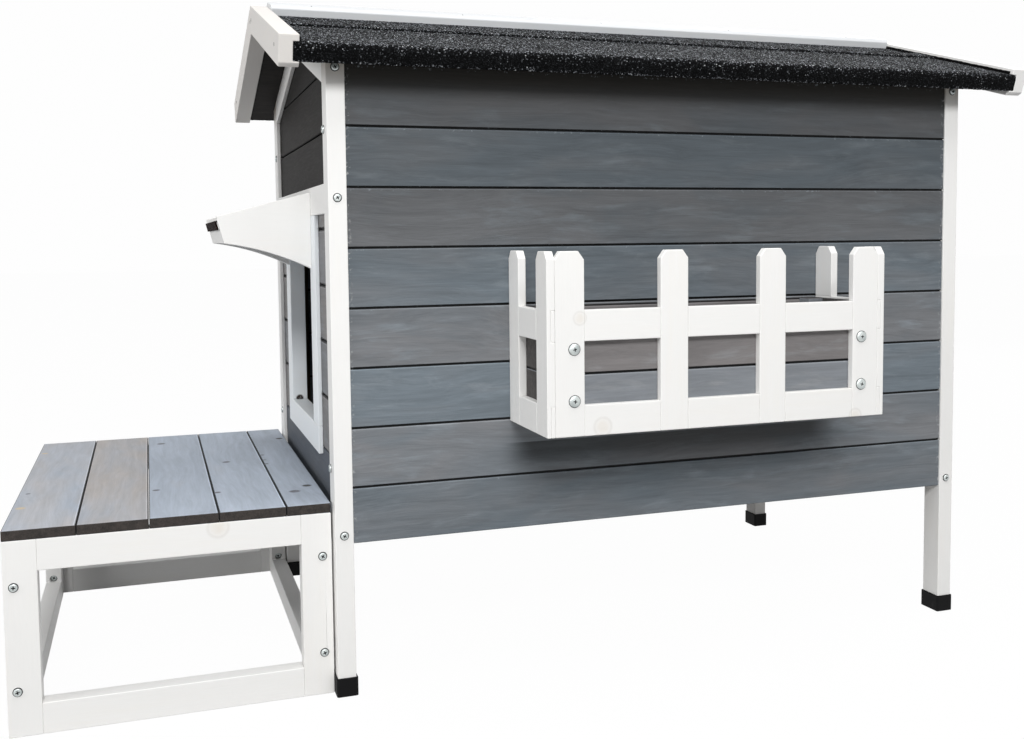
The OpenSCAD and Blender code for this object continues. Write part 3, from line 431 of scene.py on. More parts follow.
def moulded_plastic(colour):
    """The foot caps' plastic, with a fine texture and some dust on it."""
    paint = Finish("foot_cap_plastic")
    texture = paint.noise(paint.place, 900, 3, 0.6)
    dust = paint.noise(paint.place, 45, 5, 0.65)
    base = paint.mix(colour, DUST, (dust.smooth(0.58, 0.8) * 0.3).clamp())
    return paint.finish(base, 0.5 + texture * 0.2, paint.bump(texture, 0.0002, 0.6), specular=0.1)


def zinc_plate(context):
    """The plating of every fastener, brushed and dulled in clouds."""
    paint = Finish("zinc_plate")
    brushed = paint.noise(paint.place, 1400, 4, 0.7)
    cloud = paint.noise(paint.place, 160, 3)
    bright = context.scene.cat_house_colours.zinc
    base = paint.mix(bright, DULL_ZINC, cloud.smooth(0.3, 0.7))
    relief = paint.bump(brushed, 0.0001, 0.5)
    return paint.finish(base, 0.3 + brushed * 0.2, relief, metallic=0.8)


def shade_and_brad_black():
    """The black of the brads, and in the crosses and round the heads, where it is painted shade."""
    paint = Finish("shade_and_brad_black")
    grime = paint.noise(paint.place, 1200, 3)
    base = paint.mix((0.008, 0.008, 0.009), GRIME, grime.smooth(0.4, 0.8))
    return paint.finish(base, 0.6 + grime * 0.2, paint.bump(grime, 0.0001), specular=0.2)


# Modelling


def only(obj=None):
    """Leaves edit mode, deselects everything and makes one object active."""
    if bpy.context.object is not None and bpy.context.object.mode != "OBJECT":
        bpy.ops.object.mode_set(mode="OBJECT")
    bpy.ops.object.select_all(action="DESELECT")
    if obj is not None:
        obj.select_set(True)
        bpy.context.view_layer.objects.active = obj


def choose(obj, what, test):
    """Selects the faces or edges of a mesh in edit mode that pass a test on their places."""
    bpy.ops.object.mode_set(mode="EDIT")
    bpy.ops.mesh.select_mode(type="EDGE" if what == "edges" else "FACE")
    bpy.ops.mesh.select_all(action="DESELECT")
    bpy.ops.object.mode_set(mode="OBJECT")
    mesh = obj.data
    if what == "faces":
        for face in mesh.polygons:
            face.select = test(face.center, face.normal)
    else:
        for edge in mesh.edges:
            a, b = (mesh.vertices[i].co for i in edge.vertices)
            edge.select = test(a, b)
    bpy.ops.object.mode_set(mode="EDIT")


def settle(obj):
    """Puts an object's place into its mesh."""
    only(obj)
    bpy.ops.object.transform_apply(location=True, rotation=True, scale=True)


def use_modifier(obj, kind, **settings):
    """Adds a modifier with its settings and applies it."""
    only(obj)
    made = obj.modifiers.new(kind.title(), kind)
    for key, value in settings.items():
        setattr(made, key, value)
    bpy.ops.object.modifier_apply(modifier=made.name)


def seat(place, outward, turn=0.0):
    """A fastener's seat: its place, the way that its head looks and its turn about it."""
    upright = Vector(outward).to_track_quat("Z", "Y").to_matrix().to_4x4()
    return Matrix.Translation(place) @ (upright @ Matrix.Rotation(turn, 4, "Z"))


def copies(master, seats, name):
    """Copies a shape to all its seats, each with its own mesh, and joins them into one piece."""
    made = []
    for placing in seats:
        one = master.copy()
        one.data = master.data.copy()
        one.data.transform(placing)
        bpy.context.collection.objects.link(one)
        made.append(one)
    only(made[0])
    for one in made:
        one.select_set(True)
    bpy.ops.object.join()
    made[0].name = name
    bpy.data.objects.remove(master)
    return made[0]


def block(size, place, material, turn=0.0):
    """A block at its size and place, turned about the upright axis."""
    only()
    bpy.ops.mesh.primitive_cube_add(size=1, location=place, rotation=(0, 0, turn), scale=size)
    made = bpy.context.object
    settle(made)
    made.data.materials.append(material)
    return made


def disc(sides, radius, low, high, material):
    """A round or many-sided disc on the upright axis, from one height to another."""
    only()
    bpy.ops.mesh.primitive_cylinder_add(
        vertices=sides, radius=radius, depth=high - low, location=(0, 0, (low + high) / 2))
    made = bpy.context.object
    settle(made)
    made.data.materials.append(material)
    return made


def shade_smooth(obj, angle=35):
    """Shades a shape smooth, apart from edges sharper than an angle in degrees."""
    only(obj)
    bpy.ops.object.shade_smooth_by_angle(angle=math.radians(angle))


def sink_cross(head, width, reach, depth, top, black):
    """Sinks the driver's cross into a head: two arms that taper towards their floor, their faces
    black as painted shade in the recess.
    """
    arms = []
    for turn in (0, math.pi / 2):
        arm = block((reach, width, depth * 2), (0, 0, top), black, turn)
        choose(arm, "faces", lambda c, n: n.z < -0.5)
        bpy.ops.transform.resize(value=(0.55, 0.55, 1))
        arms.append(arm)
    use_modifier(arms[0], "BOOLEAN", object=arms[1], operation="UNION", solver="EXACT")
    use_modifier(head, "BOOLEAN", object=arms[0], operation="DIFFERENCE", solver="EXACT",
                 material_mode="TRANSFER")
    for arm in arms:
        bpy.data.objects.remove(arm)


def with_ring(head, radius, black):
    """Adds a dark ring round a head: painted shadow in the gap under its rim."""
    ring = disc(28, radius, 0, 0.0003, black)
    choose(ring, "faces", lambda c, n: n.z > 0.9)
    bpy.ops.mesh.inset(thickness=radius * 0.1)
    bpy.ops.transform.translate(value=(0, 0, -0.0001))
    only(head)
    ring.select_set(True)
    bpy.ops.object.join()
    return head


def pan_head(radius, height, steel, black):
    """A pan head with a rounded rim and a driver's cross, its seat at the origin."""
    head = disc(28, radius, 0, height, steel)
    choose(head, "edges", lambda a, b: a.z > height * 0.9 and b.z > height * 0.9)
    bpy.ops.mesh.bevel(offset=height * 0.62, segments=4, profile=0.55)
    shade_smooth(head)
    sink_cross(head, radius * 0.36, radius * 1.3, height * 0.7, height, black)
    return with_ring(head, radius * 1.19, black)


def domed_bolt(radius, height, shank, length, steel, black):
    """A bolt with a wide low dome and a driver's cross, its seat at the origin, its shank down."""
    rim, dome, bend = height * 0.22, height * 0.78, math.radians(21)
    bolt = disc(36, radius, 0, rim, steel)
    low = level = rim
    for step, rise in enumerate((0.36, 0.3, 0.22, 0.12)):
        # From one ring under the top, so that the last step raises the flat third ring with it
        choose(bolt, "faces", lambda c, n: n.z > 0.9 and c.z > low - 1e-6)
        low, level = level, level + dome * rise
        share = math.cos(bend * (step + 1)) / math.cos(bend * step)
        bpy.ops.mesh.extrude_region_move(TRANSFORM_OT_translate={"value": (0, 0, dome * rise)})
        bpy.ops.transform.resize(value=(share, share, 1), center_override=(0, 0, 0))
    choose(bolt, "faces", lambda c, n: n.z < -0.9)
    bpy.ops.mesh.inset(thickness=radius - shank)
    bpy.ops.mesh.extrude_region_move(TRANSFORM_OT_translate={"value": (0, 0, -length)})
    shade_smooth(bolt)
    sink_cross(bolt, radius * 0.24, radius * 0.95, height * 0.6, height, black)
    return with_ring(bolt, radius * 1.08, black)


def hex_nut(radius, height, steel):
    """A hexagon nut with its edges broken, its seat at the origin, lying under it."""
    nut = disc(6, radius, -height, 0, steel)
    choose(nut, "faces", lambda c, n: abs(n.z) > 0.9)
    bpy.ops.mesh.inset(thickness=radius * 0.12, use_individual=True)
    bpy.ops.mesh.extrude_region_move(TRANSFORM_OT_translate={"value": (0, 0, 0)})
    use_modifier(nut, "BEVEL", width=height * 0.06, segments=1, limit_method="ANGLE",
                 angle_limit=math.radians(40))
    return nut


def brad_head(width, length, height, steel):
    """The narrow, slightly dished head of a brad, its seat at the origin, its length along Y."""
    brad = block((width, length, height), (0, 0, height / 2), steel)
    choose(brad, "edges", lambda a, b: abs(a.z - b.z) > height * 0.5)
    bpy.ops.mesh.bevel(offset=width * 0.4, segments=3)
    choose(brad, "faces", lambda c, n: n.z > 0.9)
    bpy.ops.mesh.inset(thickness=width * 0.15)
    bpy.ops.transform.translate(value=(0, 0, -height * 0.25))
    only(brad)
    return brad


def on_roof(x, side, down, out):
    """A place on one side of the roof, in millimetres down the slope and out of its underside."""
    return house(x, side * (down * SLOPE_COS + out * SLOPE_SIN),
                 RIDGE_Z - down * SLOPE_SIN + out * SLOPE_COS)


def dress(names, material, round_by=0.0):
    """Gives CAD nodes a material and, where a width is given, timber's broken edges."""
    for name in names:
        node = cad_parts[name]
        node.data.materials.clear()
        node.data.materials.append(material)
        if round_by:
            weld = node.modifiers.new("Joined", "WELD")
            weld.merge_threshold = 0.00001
            flat = node.modifiers.new("Flats", "DECIMATE")
            flat.decimate_type = "DISSOLVE"
            flat.angle_limit = math.radians(1)
            edge = node.modifiers.new("Broken edges", "BEVEL")
            edge.width = round_by
            edge.segments = 2
            edge.limit_method = "ANGLE"
            edge.angle_limit = math.radians(40)
            edge.use_clamp_overlap = False


# What a user may change: colours, and sizes in metres


def user_colour(name, description, default):
    """A colour that a user may change."""
    return bpy.props.FloatVectorProperty(
        name=name, description=description, subtype="COLOR", size=3, default=default)


def user_size(name, description, default, least, most):
    """A size that a user may change, in metres."""
    return bpy.props.FloatProperty(
        name=name, description=description, default=default, min=least, max=most,
        subtype="DISTANCE", unit="LENGTH", precision=5)


class CatHouseColours(bpy.types.PropertyGroup):
    """The colours of the cat house's finishes"""
    paint: user_colour("Paint", "White paint on the frame timber", (0.84, 0.835, 0.82))
    wall_cool: user_colour("Wall, cool", "Bluish stain of the wall boards", srgb(103, 112, 119))
    wall_warm: user_colour("Wall, warm", "Brownish stain of the wall boards", srgb(110, 112, 115))
    wall_worn: user_colour("Wall, worn", "Where the stain is thin", srgb(130, 138, 144))
    deck_cool: user_colour("Deck, cool", "Bluish stain of the porch's deck", srgb(141, 149, 160))
    deck_warm: user_colour("Deck, warm", "Warm stain of the porch's deck", srgb(141, 137, 135))
    liner: user_colour("Flower box", "Stain inside the flower box", srgb(116, 113, 113))
    shingle_dark: user_colour("Shingle, dark", "Dark granules", srgb(7, 8, 9))
    shingle_light: user_colour("Shingle, light", "Light granules", srgb(160, 164, 170))
    caps: user_colour("Foot caps", "Moulded plastic of the foot caps", (0.005, 0.005, 0.0054))
    zinc: user_colour("Fasteners", "Plating of the screws and bolts", (0.60, 0.64, 0.63))


class CatHouseSizes(bpy.types.PropertyGroup):
    """The sizes of the cat house's small shapes"""
    broken_edge: user_size("Broken edges", "Rounding of the timber's edges", 0.0009, 0.0, 0.002)
    head_radius: user_size("Screw heads", "Radius of the pan heads", 0.0045, 0.003, 0.006)
    head_height: user_size(
        "Screw head height", "Height of the pan heads", 0.0024, 0.001, 0.004)
    bolt_radius: user_size(
        "Bolt heads", "Radius of the flower box's bolt heads", 0.0068, 0.005, 0.009)
    granule_size: user_size(
        "Granules", "Size of the granules on the shingles", 0.0022, 0.001, 0.005)
    granule_height: user_size(
        "Granule height", "How far the granules stand out of the felt", 0.0012, 0.0003, 0.002)
    upstand_width: user_size(
        "Felt upstand width", "Thickness of the felt at the bargeboards", 0.003, 0.001, 0.006)
    upstand_height: user_size(
        "Felt upstand height", "Height of the felt at the bargeboards", 0.0045, 0.001, 0.007)
    brad_width: user_size(
        "Brads", "Width of the brad heads in the roof's trim", 0.0012, 0.0005, 0.002)


# The painted pieces that share a coat

POSTS = ["post_door_front", "post_door_back", "post_far_front", "post_far_back"]
UPRIGHTS = ["planter_front_pickets", "planter_side_pickets", "porch_legs", "porch_side_legs"]
RAILS_ALONG = ["planter_front_rails", "porch_rails", "canopy_cheek_front", "canopy_cheek_back"]
RIDGE_CAP = ["ridge_cap_front", "ridge_cap_back"]
RAILS_ACROSS = ["door_mid_rail", "door_bottom_rail", "door_rafter_front", "door_rafter_back",
                "far_bottom_rail", "far_rafter_front", "far_rafter_back",
                "canopy_top_board", "canopy_front_board", "planter_side_rails", "porch_side_rails"]
DOOR_TRIM = ["bargeboard_door_front", "bargeboard_door_back"]
FAR_TRIM = ["bargeboard_far_front", "bargeboard_far_back"]
DOOR_FRAME = ["door_stile_front", "door_stile_back", "door_sill", "door_head"]


class CATHOUSE_OT_painted_timber(bpy.types.Operator):
    """Paints the posts, rails, door frame, canopy, fence, porch frame and roof trim white"""
    bl_idname = "cathouse.painted_timber"
    bl_label = "Painted timber"

    def execute(self, context):
        colour = tuple(context.scene.cat_house_colours.paint)
        knots = [(house(-187, -400, 460), 0.009), (house(-159, -400, 333), 0.0125),
                 (house(186, -400, 325), 0.010), (house(-585, -252, 218), 0.014)]
        # The posts turn a warm brown towards the eave: painted shade
        eave_shade_tint = (0.72, 0.78, (0.40, 0.35, 0.29))
        scar = (house(-440, 107, 313), 0.007)
        for names, coat in (
                (POSTS, white_paint("white_paint_and_shade_posts", colour, 2, dusk=eave_shade_tint)),
                (UPRIGHTS, white_paint("white_paint_upright", colour, 2, knots=knots)),
                (RAILS_ALONG, white_paint("white_paint_along", colour, 0, knots=knots)),
                (RIDGE_CAP, white_paint("white_paint_ridge", (0.65, 0.665, 0.68), 0)),
                (RAILS_ACROSS, white_paint("white_paint_across", colour, 1)),
                # The door end's bargeboards take a darker, warmer white than the far end's: painted
                # shade
                (DOOR_TRIM, white_paint("white_paint_and_shade_trim", (0.70, 0.675, 0.645), 1)),
                (FAR_TRIM, white_paint("white_paint_far_trim", colour, 1)),
                (DOOR_FRAME, white_paint("white_paint_door", (0.83, 0.865, 0.89), 1, scar=scar))):
            dress(names, coat, context.scene.cat_house_sizes.broken_edge)
        return {"FINISHED"}


class CATHOUSE_OT_wall_boards(bpy.types.Operator):
    """Stains the boards of all four walls"""
    bl_idname = "cathouse.wall_boards"
    bl_label = "Wall boards"

    def execute(self, context):
        tints = context.scene.cat_house_colours
        tones = (tuple(tints.wall_cool), tuple(tints.wall_warm), tuple(tints.wall_worn))
        side_tones = (srgb(106, 107, 110), srgb(114, 111, 110), tones[2])
        # The base board under the sill takes dark tones that are painted shade
        base_tones = (srgb(66, 74, 85), srgb(70, 74, 80), srgb(86, 92, 100))
        gable_tones = (srgb(92, 89, 88), srgb(82, 78, 76), srgb(112, 108, 105))
        ends = (srgb(52, 48, 46), srgb(84, 78, 74))
        boards = (2, WALL_FOOT, WALL_PITCH)
        # Painted shade on the long walls' outer face: darker towards the eave, and the flower box's
        # shadow under the box
        flower_box_shadow = (house(-215, 0, 0).x, house(225, 0, 0).x, 0.25, 0.285)
        dress(["front_wall_boards", "back_wall_boards"], stained_wood(
            "wall_stain_and_shade_long", tones, 0, boards, ends, seams=WALL_SEAM, chips=(SHIFT.x, WALL_HALF),
            dusk=(0.39, 0.65, 0.48), eave=EAVE_Z, shadow_field=flower_box_shadow, outer=1))
        dress(["door_side_boards_front", "door_side_boards_back"], stained_wood(
            "wall_stain_door", side_tones, 1, (2, 0.285, 0.0705), ends, seams=0.0056))
        dress(["door_base_board"], stained_wood(
            "wall_stain_and_shade_base", base_tones, 1, (2, 0.2, 0.09), ends))
        # The gable's outer face is darkened to 0.17 and by dusk towards its top: painted shade
        # under the roof
        dress(["door_gable_boards"], stained_wood(
            "wall_stain_and_shade_gable", gable_tones, 1, (2, 0.685, WALL_PITCH), ends, seams=WALL_SEAM,
            light=0.17, dusk=(0.66, 0.83, 0.6), specular=0.04, outer=0))
        # dusk darkens the far gable towards its top: painted shade under the roof
        dress(["far_gable_boards"], stained_wood(
            "wall_stain_and_shade_far", tones, 1, boards, ends, seams=WALL_SEAM, dusk=(0.38, 0.8, 0.5)))
        return {"FINISHED"}


class CATHOUSE_OT_deck(bpy.types.Operator):
    """Stains the porch's deck, with sawn ends and a few knots and nail marks"""
    bl_idname = "cathouse.deck"
    bl_label = "Porch deck"

    def execute(self, context):
        tints = context.scene.cat_house_colours
        tones = (tuple(tints.deck_cool), tuple(tints.deck_warm), srgb(168, 174, 182))
        pale, dark, faint = srgb(190, 176, 150), srgb(52, 48, 46), srgb(100, 101, 108)

        # Places along and across the deck and radii, in millimetres
        spots = (
            (-808.9, 211.5, 6, pale), (-807, -146, 7.5, pale),
            (-462, 205, 7, dark), (-467, -148, 7.5, dark),
            (-806, -67, 4, faint), (-652, -105, 6, faint), (-642, 228, 8, faint),
            (-555, 45, 7, faint), (-579, -146, 6, faint), (-502, 78, 5, faint),
            (-502, 40, 4, faint), (-503, 11, 5, faint), (-486, -175, 9, faint),
        )
        marks = [(house(x, y, DECK_Z), radius / 1000, tint) for x, y, radius, tint in spots]
        outer_edge, pitch = house(-817, 0, 0).x, 0.07805
        ends = (srgb(13, 12, 11), srgb(72, 65, 61))
        stain = stained_wood(
            "porch_deck_stain", tones, 1, (0, outer_edge, pitch), ends, light=1.31, seams=0.003,
            marks=marks, warm=0.6, contrast=0.75, wear=0.15)
        dress(["porch_deck_boards"], stain, round_by=0.001)
        return {"FINISHED"}


class CATHOUSE_OT_flower_box_liner(bpy.types.Operator):
    """Stains the boards inside the flower box"""
    bl_idname = "cathouse.flower_box_liner"
    bl_label = "Flower box liner"

    def execute(self, context):
        tint = tuple(context.scene.cat_house_colours.liner)
        tones = (srgb(116, 120, 125), tint, srgb(138, 140, 142))
        boards = (2, BOX_LOW / 1000, WALL_PITCH)
        ends = (srgb(46, 44, 44), srgb(90, 86, 84))
        lying = stained_wood("liner_stain_along", tones, 0, boards, ends, seams=WALL_SEAM, warm=1,
                             contrast=0.8)
        upright = stained_wood("liner_stain_upright", tones, 2, boards, ends)
        dress(["planter_liner", "planter_base"], lying)
        dress(["planter_battens"], upright, round_by=0.0006)
        return {"FINISHED"}


class CATHOUSE_OT_inner_timber(bpy.types.Operator):
    """Finishes the floor, bearers and battens, and the dark boards under the roof"""
    bl_idname = "cathouse.inner_timber"
    bl_label = "Inner timber"

    def execute(self, context):
        bare = (srgb(104, 93, 79), srgb(95, 83, 69), srgb(122, 112, 97))
        bare_ends = (srgb(78, 66, 52), srgb(112, 98, 80))
        # The boards under the roof take near-black tones: partly a dark stain, partly painted shade
        dark = (srgb(32, 29, 28), srgb(29, 26, 25), srgb(44, 41, 38))
        dark_ends = (srgb(28, 25, 23), srgb(46, 42, 39))
        boards = (1, 0.0, 0.073)
        lying = stained_wood("bare_wood_along", bare, 0, boards, bare_ends)
        upright = stained_wood("bare_wood_upright", bare, 2, boards, bare_ends)
        under = stained_wood("under_roof_stain_and_shade", dark, 0, boards, dark_ends, specular=0.05)
        dress(["floor_boards", "floor_bearers"], lying)
        dress(["wall_battens"], upright, round_by=0.0006)
        dress(["roof_battens", "roof_board_front", "roof_board_back"], under)
        return {"FINISHED"}


class CATHOUSE_OT_roof_covering(bpy.types.Operator):
    """Covers the roof's shingles and the canopy's felt with mineral granules"""
    bl_idname = "cathouse.roof_covering"
    bl_label = "Roof covering"

    def execute(self, context):
        felt = granules("canopy_granules", srgb(40, 26, 24), srgb(92, 66, 60), srgb(136, 112, 104))
        dress(["shingles_front", "shingles_back"], shingle_stone(context))
        dress(["canopy_felt"], felt)
        return {"FINISHED"}


class CATHOUSE_OT_foot_caps(bpy.types.Operator):
    """Gives the foot caps their moulded plastic"""
    bl_idname = "cathouse.foot_caps"
    bl_label = "Foot caps"

    def execute(self, context):
        colour = tuple(context.scene.cat_house_colours.caps)
        dress(["foot_caps"], moulded_plastic(colour), round_by=0.0008)
        return {"FINISHED"}


class CATHOUSE_OT_screws(bpy.types.Operator):
    """Sets pan heads with a driver's cross in the frame and the porch"""
    bl_idname = "cathouse.screws"
    bl_label = "Frame screws"

    def execute(self, context):
        sizes = context.scene.cat_house_sizes
        steel, black = zinc_plate(context), shade_and_brad_black()
        chance = random.Random(7)

        def turned(x, y, z, outward):
            """A seat in the house's lines, with the cross turned by chance."""
            return seat(house(x, y, z), outward, chance.uniform(0, math.pi))

        # The posts' long and end faces, then the porch's outer and inner faces, in millimetres
        long_face, end_face = 268, 450.5
        seats = []
        for side in (-1, 1):
            for x, heights in ((-439.5, (197.5, 602, 754)), (439.5, (197.5, 754))):
                seats += [turned(x, side * long_face, z, (0, side, 0)) for z in heights]
            for y in (-244.5, 244.5):
                seats += [turned(side * end_face, y, z, (side, 0, 0)) for z in (276, 683.5)]
        for x in (-806, -463.9):
            for z in (52, 171):
                seats += [turned(x, y, z, (0, out, 0)) for y, out in ((-252, -1), (296, 1))]
            seats += [turned(x, y, 34, (0, out, 0)) for y, out in ((-202, 1), (246, -1))]
        head = pan_head(sizes.head_radius, sizes.head_height, steel, black)
        heads = copies(head, seats, "screw_heads")

        # The hinges' wall leaves, whose screws are sunk nearly flush
        sunk = [turned(x, 266.7, 741.3, (0, 1, 0)) for x in (-271, -229, 229, 271)]
        small = pan_head(radius=0.003, height=0.0005, steel=steel, black=black)
        leaf_heads = copies(small, sunk, "hinge_wall_screw_heads")
        for piece in (heads, leaf_heads):
            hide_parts("frame_screws")
            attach(piece, "house")
        return {"FINISHED"}


class CATHOUSE_OT_flower_box_bolts(bpy.types.Operator):
    """Sets the domed bolts and their nuts in the flower box"""
    bl_idname = "cathouse.flower_box_bolts"
    bl_label = "Flower box bolts"

    def execute(self, context):
        radius = context.scene.cat_house_sizes.bolt_radius
        steel, black = zinc_plate(context), shade_and_brad_black()
        chance = random.Random(11)
        grip, outward = 42, (0, -1, 0)
        heads, nuts = [], []
        for face in (BOX_FRONT, BOX_BACK):
            for x in (-194, 194):
                for z in (BOX_LOW + 41, BOX_LOW + 101):
                    heads.append(seat(house(x, face, z), outward, chance.uniform(0, math.pi)))
                    nuts.append(seat(house(x, face + grip, z), outward, 0.3))
        bolt = domed_bolt(radius, height=0.0032, shank=0.003, length=0.05, steel=steel, black=black)
        nut = hex_nut(radius=0.0058, height=0.005, steel=steel)
        for piece in (copies(bolt, heads, "bolts"), copies(nut, nuts, "nuts")):
            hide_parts("planter_bolts")
            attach(piece, "house")
        return {"FINISHED"}


class CATHOUSE_OT_brads(bpy.types.Operator):
    """Sets the brads that hold the bargeboards and the ridge cap"""
    bl_idname = "cathouse.brads"
    bl_label = "Brads"

    def execute(self, context):
        width = context.scene.cat_house_sizes.brad_width
        cap_top = SLAB_T + 14
        seats = []
        for end, outward in ((DOOR_END_X, -1), (FAR_END_X, 1)):
            for side in (-1, 1):
                for y, z in ((7, 853.6), (272, 776.2)):
                    seats.append(seat(house(end, side * y, z), (outward, 0, 0)))
        for x in (-430, -215, 0, 215, 430):
            for side in (-1, 1):
                seats.append(seat(on_roof(x, side, 22, cap_top), (0, side * SLOPE_SIN, SLOPE_COS)))
        brad = brad_head(width, length=width * 3.6, height=0.0003, steel=shade_and_brad_black())
        piece = copies(brad, seats, "brads")
        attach(piece, "roof")
        return {"FINISHED"}


class CATHOUSE_OT_granule_coat(bpy.types.Operator):
    """Covers the shingles with a coat of standing granules that follows their laps and folds"""
    bl_idname = "cathouse.granule_coat"
    bl_label = "Granule coat"

    def path(self):
        """The shingles' outer line, down the slope and out of the underside, in millimetres."""
        felt, bend = 3, 6
        lap = [(30, SLAB_T), (108, SLAB_T), (117, SLAB_T + felt), (156.2, SLAB_T + felt),
               (157.4, SLAB_T + 2), (157.8, SLAB_T + 0.2), (159, SLAB_T)]
        fold = [(EAVE_DOWN - bend + bend * math.sin(turn), SLAB_T - bend + bend * math.cos(turn))
                for turn in (math.radians(angle) for angle in range(0, 91, 15))]
        return lap + fold + [(EAVE_DOWN, 2), (EAVE_DOWN - 0.7, 0.6), (EAVE_DOWN - 2, 0)]

    def execute(self, context):
        sizes = context.scene.cat_house_sizes
        path = self.path()
        reach = [0.0]
        for (d0, h0), (d1, h1) in zip(path, path[1:]):
            reach.append(reach[-1] + math.hypot(d1 - d0, h1 - h0))
        relief = bpy.data.textures.new("granule_relief", "VORONOI")
        relief.noise_scale = sizes.granule_size
        stone = shingle_stone(context)
        middle, length = (DOOR_LIP_X + FAR_LIP_X) / 2, FAR_LIP_X - DOOR_LIP_X - 4
        for side, name in ((-1, "granule_coat_front"), (1, "granule_coat_back")):
            only()
            bpy.ops.mesh.primitive_grid_add(x_subdivisions=640, y_subdivisions=145, size=1)
            coat = bpy.context.object
            coat.name = name
            for corner in coat.data.vertices:
                along = (corner.co.y + 0.5) * reach[-1]
                step = max(i for i, at in enumerate(reach[:-1]) if at <= along + 1e-6)
                share = (along - reach[step]) / (reach[step + 1] - reach[step])
                (d0, h0), (d1, h1) = path[step], path[step + 1]
                corner.co = on_roof(middle + side * corner.co.x * length, side,
                                    d0 + (d1 - d0) * share, h0 + (h1 - h0) * share)
            coat.data.materials.append(stone)
            use_modifier(coat, "DISPLACE", texture=relief, texture_coords="LOCAL", mid_level=1.0,
                         strength=-sizes.granule_height)
            shade_smooth(coat, 50)
            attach(coat, "roof")
        return {"FINISHED"}


class CATHOUSE_OT_felt_upstands(bpy.types.Operator):
    """Turns the felt up against the inner faces of the bargeboards"""
    bl_idname = "cathouse.felt_upstands"
    bl_label = "Felt upstands"

    def execute(self, context):
        sizes = context.scene.cat_house_sizes
        thick, high = sizes.upstand_width, sizes.upstand_height
        first, last, sunk, torn = 0.037, 0.317, 0.0002, 0.0004
        # The upstand's granules are near-black, much darker than the shingles'
        stone = granules("shingle_granules_edge", srgb(10, 10, 11), srgb(34, 35, 37),
                         srgb(150, 152, 155))
        strip = block((thick, last - first, high), (0, (first + last) / 2, high / 2 - sunk), stone)
        choose(strip, "edges", lambda a, b: abs(a.y - b.y) > 0.1)
        bpy.ops.mesh.subdivide(number_cuts=60)
        bpy.ops.object.mode_set(mode="OBJECT")
        chance = random.Random(5)
        for corner in strip.data.vertices:
            if corner.co.z > high / 2 and first < corner.co.y < last:
                corner.co.z += chance.uniform(-torn, torn)
        use_modifier(strip, "BEVEL", width=0.0008, segments=2, limit_method="ANGLE",
                     angle_limit=math.radians(50))
        shade_smooth(strip, 60)
        seats = []
        for x in (DOOR_LIP_X + thick * 500, FAR_LIP_X - thick * 500):
            for side in (-1, 1):
                slope = Matrix(((side, 0, 0), (0, side * SLOPE_COS, side * SLOPE_SIN),
                                (0, -SLOPE_SIN, SLOPE_COS)))
                seats.append(Matrix.Translation(on_roof(x, side, 0, SLAB_T)) @ slope.to_4x4())
        piece = copies(strip, seats, "felt_upstands")
        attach(piece, "roof")
        return {"FINISHED"}


class CATHOUSE_OT_hinges(bpy.types.Operator):
    """Gives the roof's hinges their plating"""
    bl_idname = "cathouse.hinges"
    bl_label = "Hinges"

    def execute(self, context):
        names = ["hinge_wall_leaves", "hinge_roof_leaves", "hinge_pins", "hinge_roof_screws"]
        dress(names, zinc_plate(context))
        return {"FINISHED"}


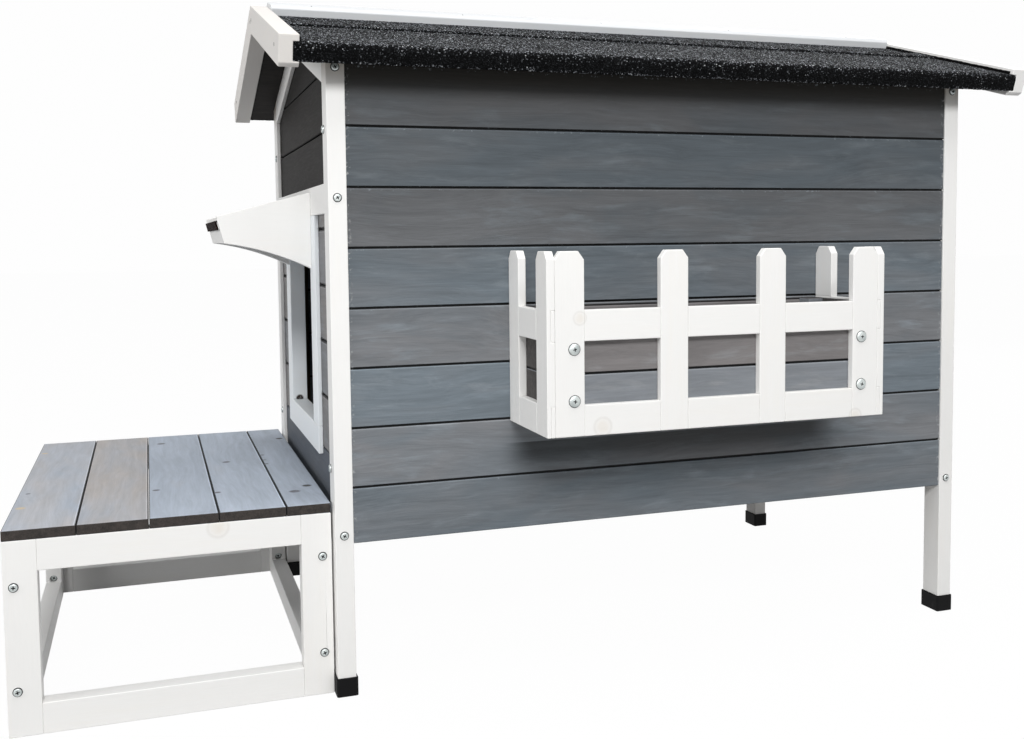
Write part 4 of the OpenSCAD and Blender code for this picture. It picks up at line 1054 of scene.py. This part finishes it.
class CATHOUSE_OT_stage(bpy.types.Operator):
    """Sets up the floor, the lights, the white surroundings and the camera"""
    bl_idname = "cathouse.stage"
    bl_label = "Stage"

    def execute(self, context):
        scene = context.scene
        scene.view_settings.view_transform = "Standard"
        self.floor()
        self.surroundings(scene)

        # Places, targets and sizes in metres, power in watts
        for name, place, target, size, power in (
                ("overhead", (0.2, -0.9, 2.9), (0.1, -0.1, 0.5), (2.6, 1.6), 43),
                ("front", (-0.6, -2.9, 2.15), (0.1, 0, 0.45), (1.8, 0.7), 73),
                ("door_side", (-4.7, -1.1, 1.8), (0, 0, 0.5), (2.4, 2.0), 78),
                ("behind", (2.6, 3.0, 1.9), (0.1, 0.1, 0.45), (2.4, 1.8), 34)):
            light = bpy.data.lights.new(name, "AREA")
            light.shape = "RECTANGLE"
            light.size, light.size_y = size
            light.energy = power
            lamp = bpy.data.objects.new(name, light)
            lamp.location = place
            look = Vector(target) - Vector(place)
            lamp.rotation_euler = look.to_track_quat("-Z", "Y").to_euler()
            scene.collection.objects.link(lamp)
        self.camera(scene)
        return {"FINISHED"}

    def floor(self):
        """A floor that gives back some light and looks white, with a faint shadow."""
        only()
        bpy.ops.mesh.primitive_plane_add(size=40, location=(0, 0, -0.0002))
        floor = bpy.context.object
        floor.name = "floor"
        paint = Paint(bpy.data.materials.new("floor_white"))
        shadow = paint.node("ShaderNodeBsdfDiffuse", {}, {"Color": (0.45, 0.45, 0.45)})
        glow = paint.node("ShaderNodeEmission", {}, {"Color": (1, 1, 1), "Strength": 1.02})
        seen = paint.background_rays() * 0.96
        both = paint.node("ShaderNodeMixShader", {}, {0: seen, 1: shadow, 2: glow})
        paint.node("ShaderNodeOutputMaterial", {}, {"Surface": both})
        floor.data.materials.append(paint.holder)

    def surroundings(self, scene):
        """Surroundings that look white and light the house softly."""
        scene.world = bpy.data.worlds.new("studio")
        studio = Paint(scene.world)
        soft, white = (
            studio.node("ShaderNodeBackground", {}, {"Color": (1, 1, 1), "Strength": strength})
            for strength in (0.24, 0.99))
        seen = studio.background_rays()
        sky = studio.node("ShaderNodeMixShader", {}, {0: seen, 1: soft, 2: white})
        studio.node("ShaderNodeOutputWorld", {}, {"Surface": sky})

    def camera(self, scene):
        """The photograph's camera, fitted to the straight edges of the house."""
        yaw, pitch, roll = 0.3235, 0.0671, -0.0104
        place = house(-654.3, -1550.0, 552.67)
        focal_length, middle_row = 1086.45, 310.88  # in the photograph's pixels
        forward = Vector((math.sin(yaw) * math.cos(pitch), math.cos(yaw) * math.cos(pitch),
                          -math.sin(pitch)))
        level = Vector((math.cos(yaw), -math.sin(yaw), 0))
        rise = level.cross(forward)
        right = math.cos(roll) * level + math.sin(roll) * rise
        up = -math.sin(roll) * level + math.cos(roll) * rise
        lens = bpy.data.cameras.new("camera")
        lens.sensor_width = 36
        lens.lens = focal_length * lens.sensor_width / IMAGE_W
        lens.shift_y = (middle_row - IMAGE_H / 2) / IMAGE_W
        camera = bpy.data.objects.new("camera", lens)
        turn = Matrix((right, up, -forward)).transposed().to_4x4()
        camera.matrix_world = Matrix.Translation(place) @ turn
        scene.collection.objects.link(camera)
        scene.camera = camera


STEPS = (CATHOUSE_OT_painted_timber, CATHOUSE_OT_wall_boards, CATHOUSE_OT_deck,
         CATHOUSE_OT_flower_box_liner, CATHOUSE_OT_inner_timber, CATHOUSE_OT_roof_covering,
         CATHOUSE_OT_foot_caps, CATHOUSE_OT_screws, CATHOUSE_OT_flower_box_bolts, CATHOUSE_OT_brads,
         CATHOUSE_OT_granule_coat, CATHOUSE_OT_felt_upstands, CATHOUSE_OT_hinges, CATHOUSE_OT_stage)


class CATHOUSE_PT_panel(bpy.types.Panel):
    """Lists the cat house's steps, colours and sizes"""
    bl_idname = "CATHOUSE_PT_panel"
    bl_label = "Cat house"
    bl_space_type = "VIEW_3D"
    bl_region_type = "UI"
    bl_category = "Cat house"

    def draw(self, context):
        column = self.layout.column(align=True)
        for step in STEPS:
            column.operator(step.bl_idname)
        for group in (context.scene.cat_house_colours, context.scene.cat_house_sizes):
            box = self.layout.box()
            for name in group.__annotations__:
                box.prop(group, name)


CLASSES = (CatHouseColours, CatHouseSizes, *STEPS, CATHOUSE_PT_panel)


def register():
    for one in CLASSES:
        bpy.utils.register_class(one)
    bpy.types.Scene.cat_house_colours = bpy.props.PointerProperty(type=CatHouseColours)
    bpy.types.Scene.cat_house_sizes = bpy.props.PointerProperty(type=CatHouseSizes)


def unregister():
    del bpy.types.Scene.cat_house_sizes
    del bpy.types.Scene.cat_house_colours
    for one in reversed(CLASSES):
        bpy.utils.unregister_class(one)


def main():
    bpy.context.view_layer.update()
    register()
    for step in STEPS:
        getattr(bpy.ops.cathouse, step.bl_idname.split(".")[1])()
    only()


if __name__ == "__main__":
    main()
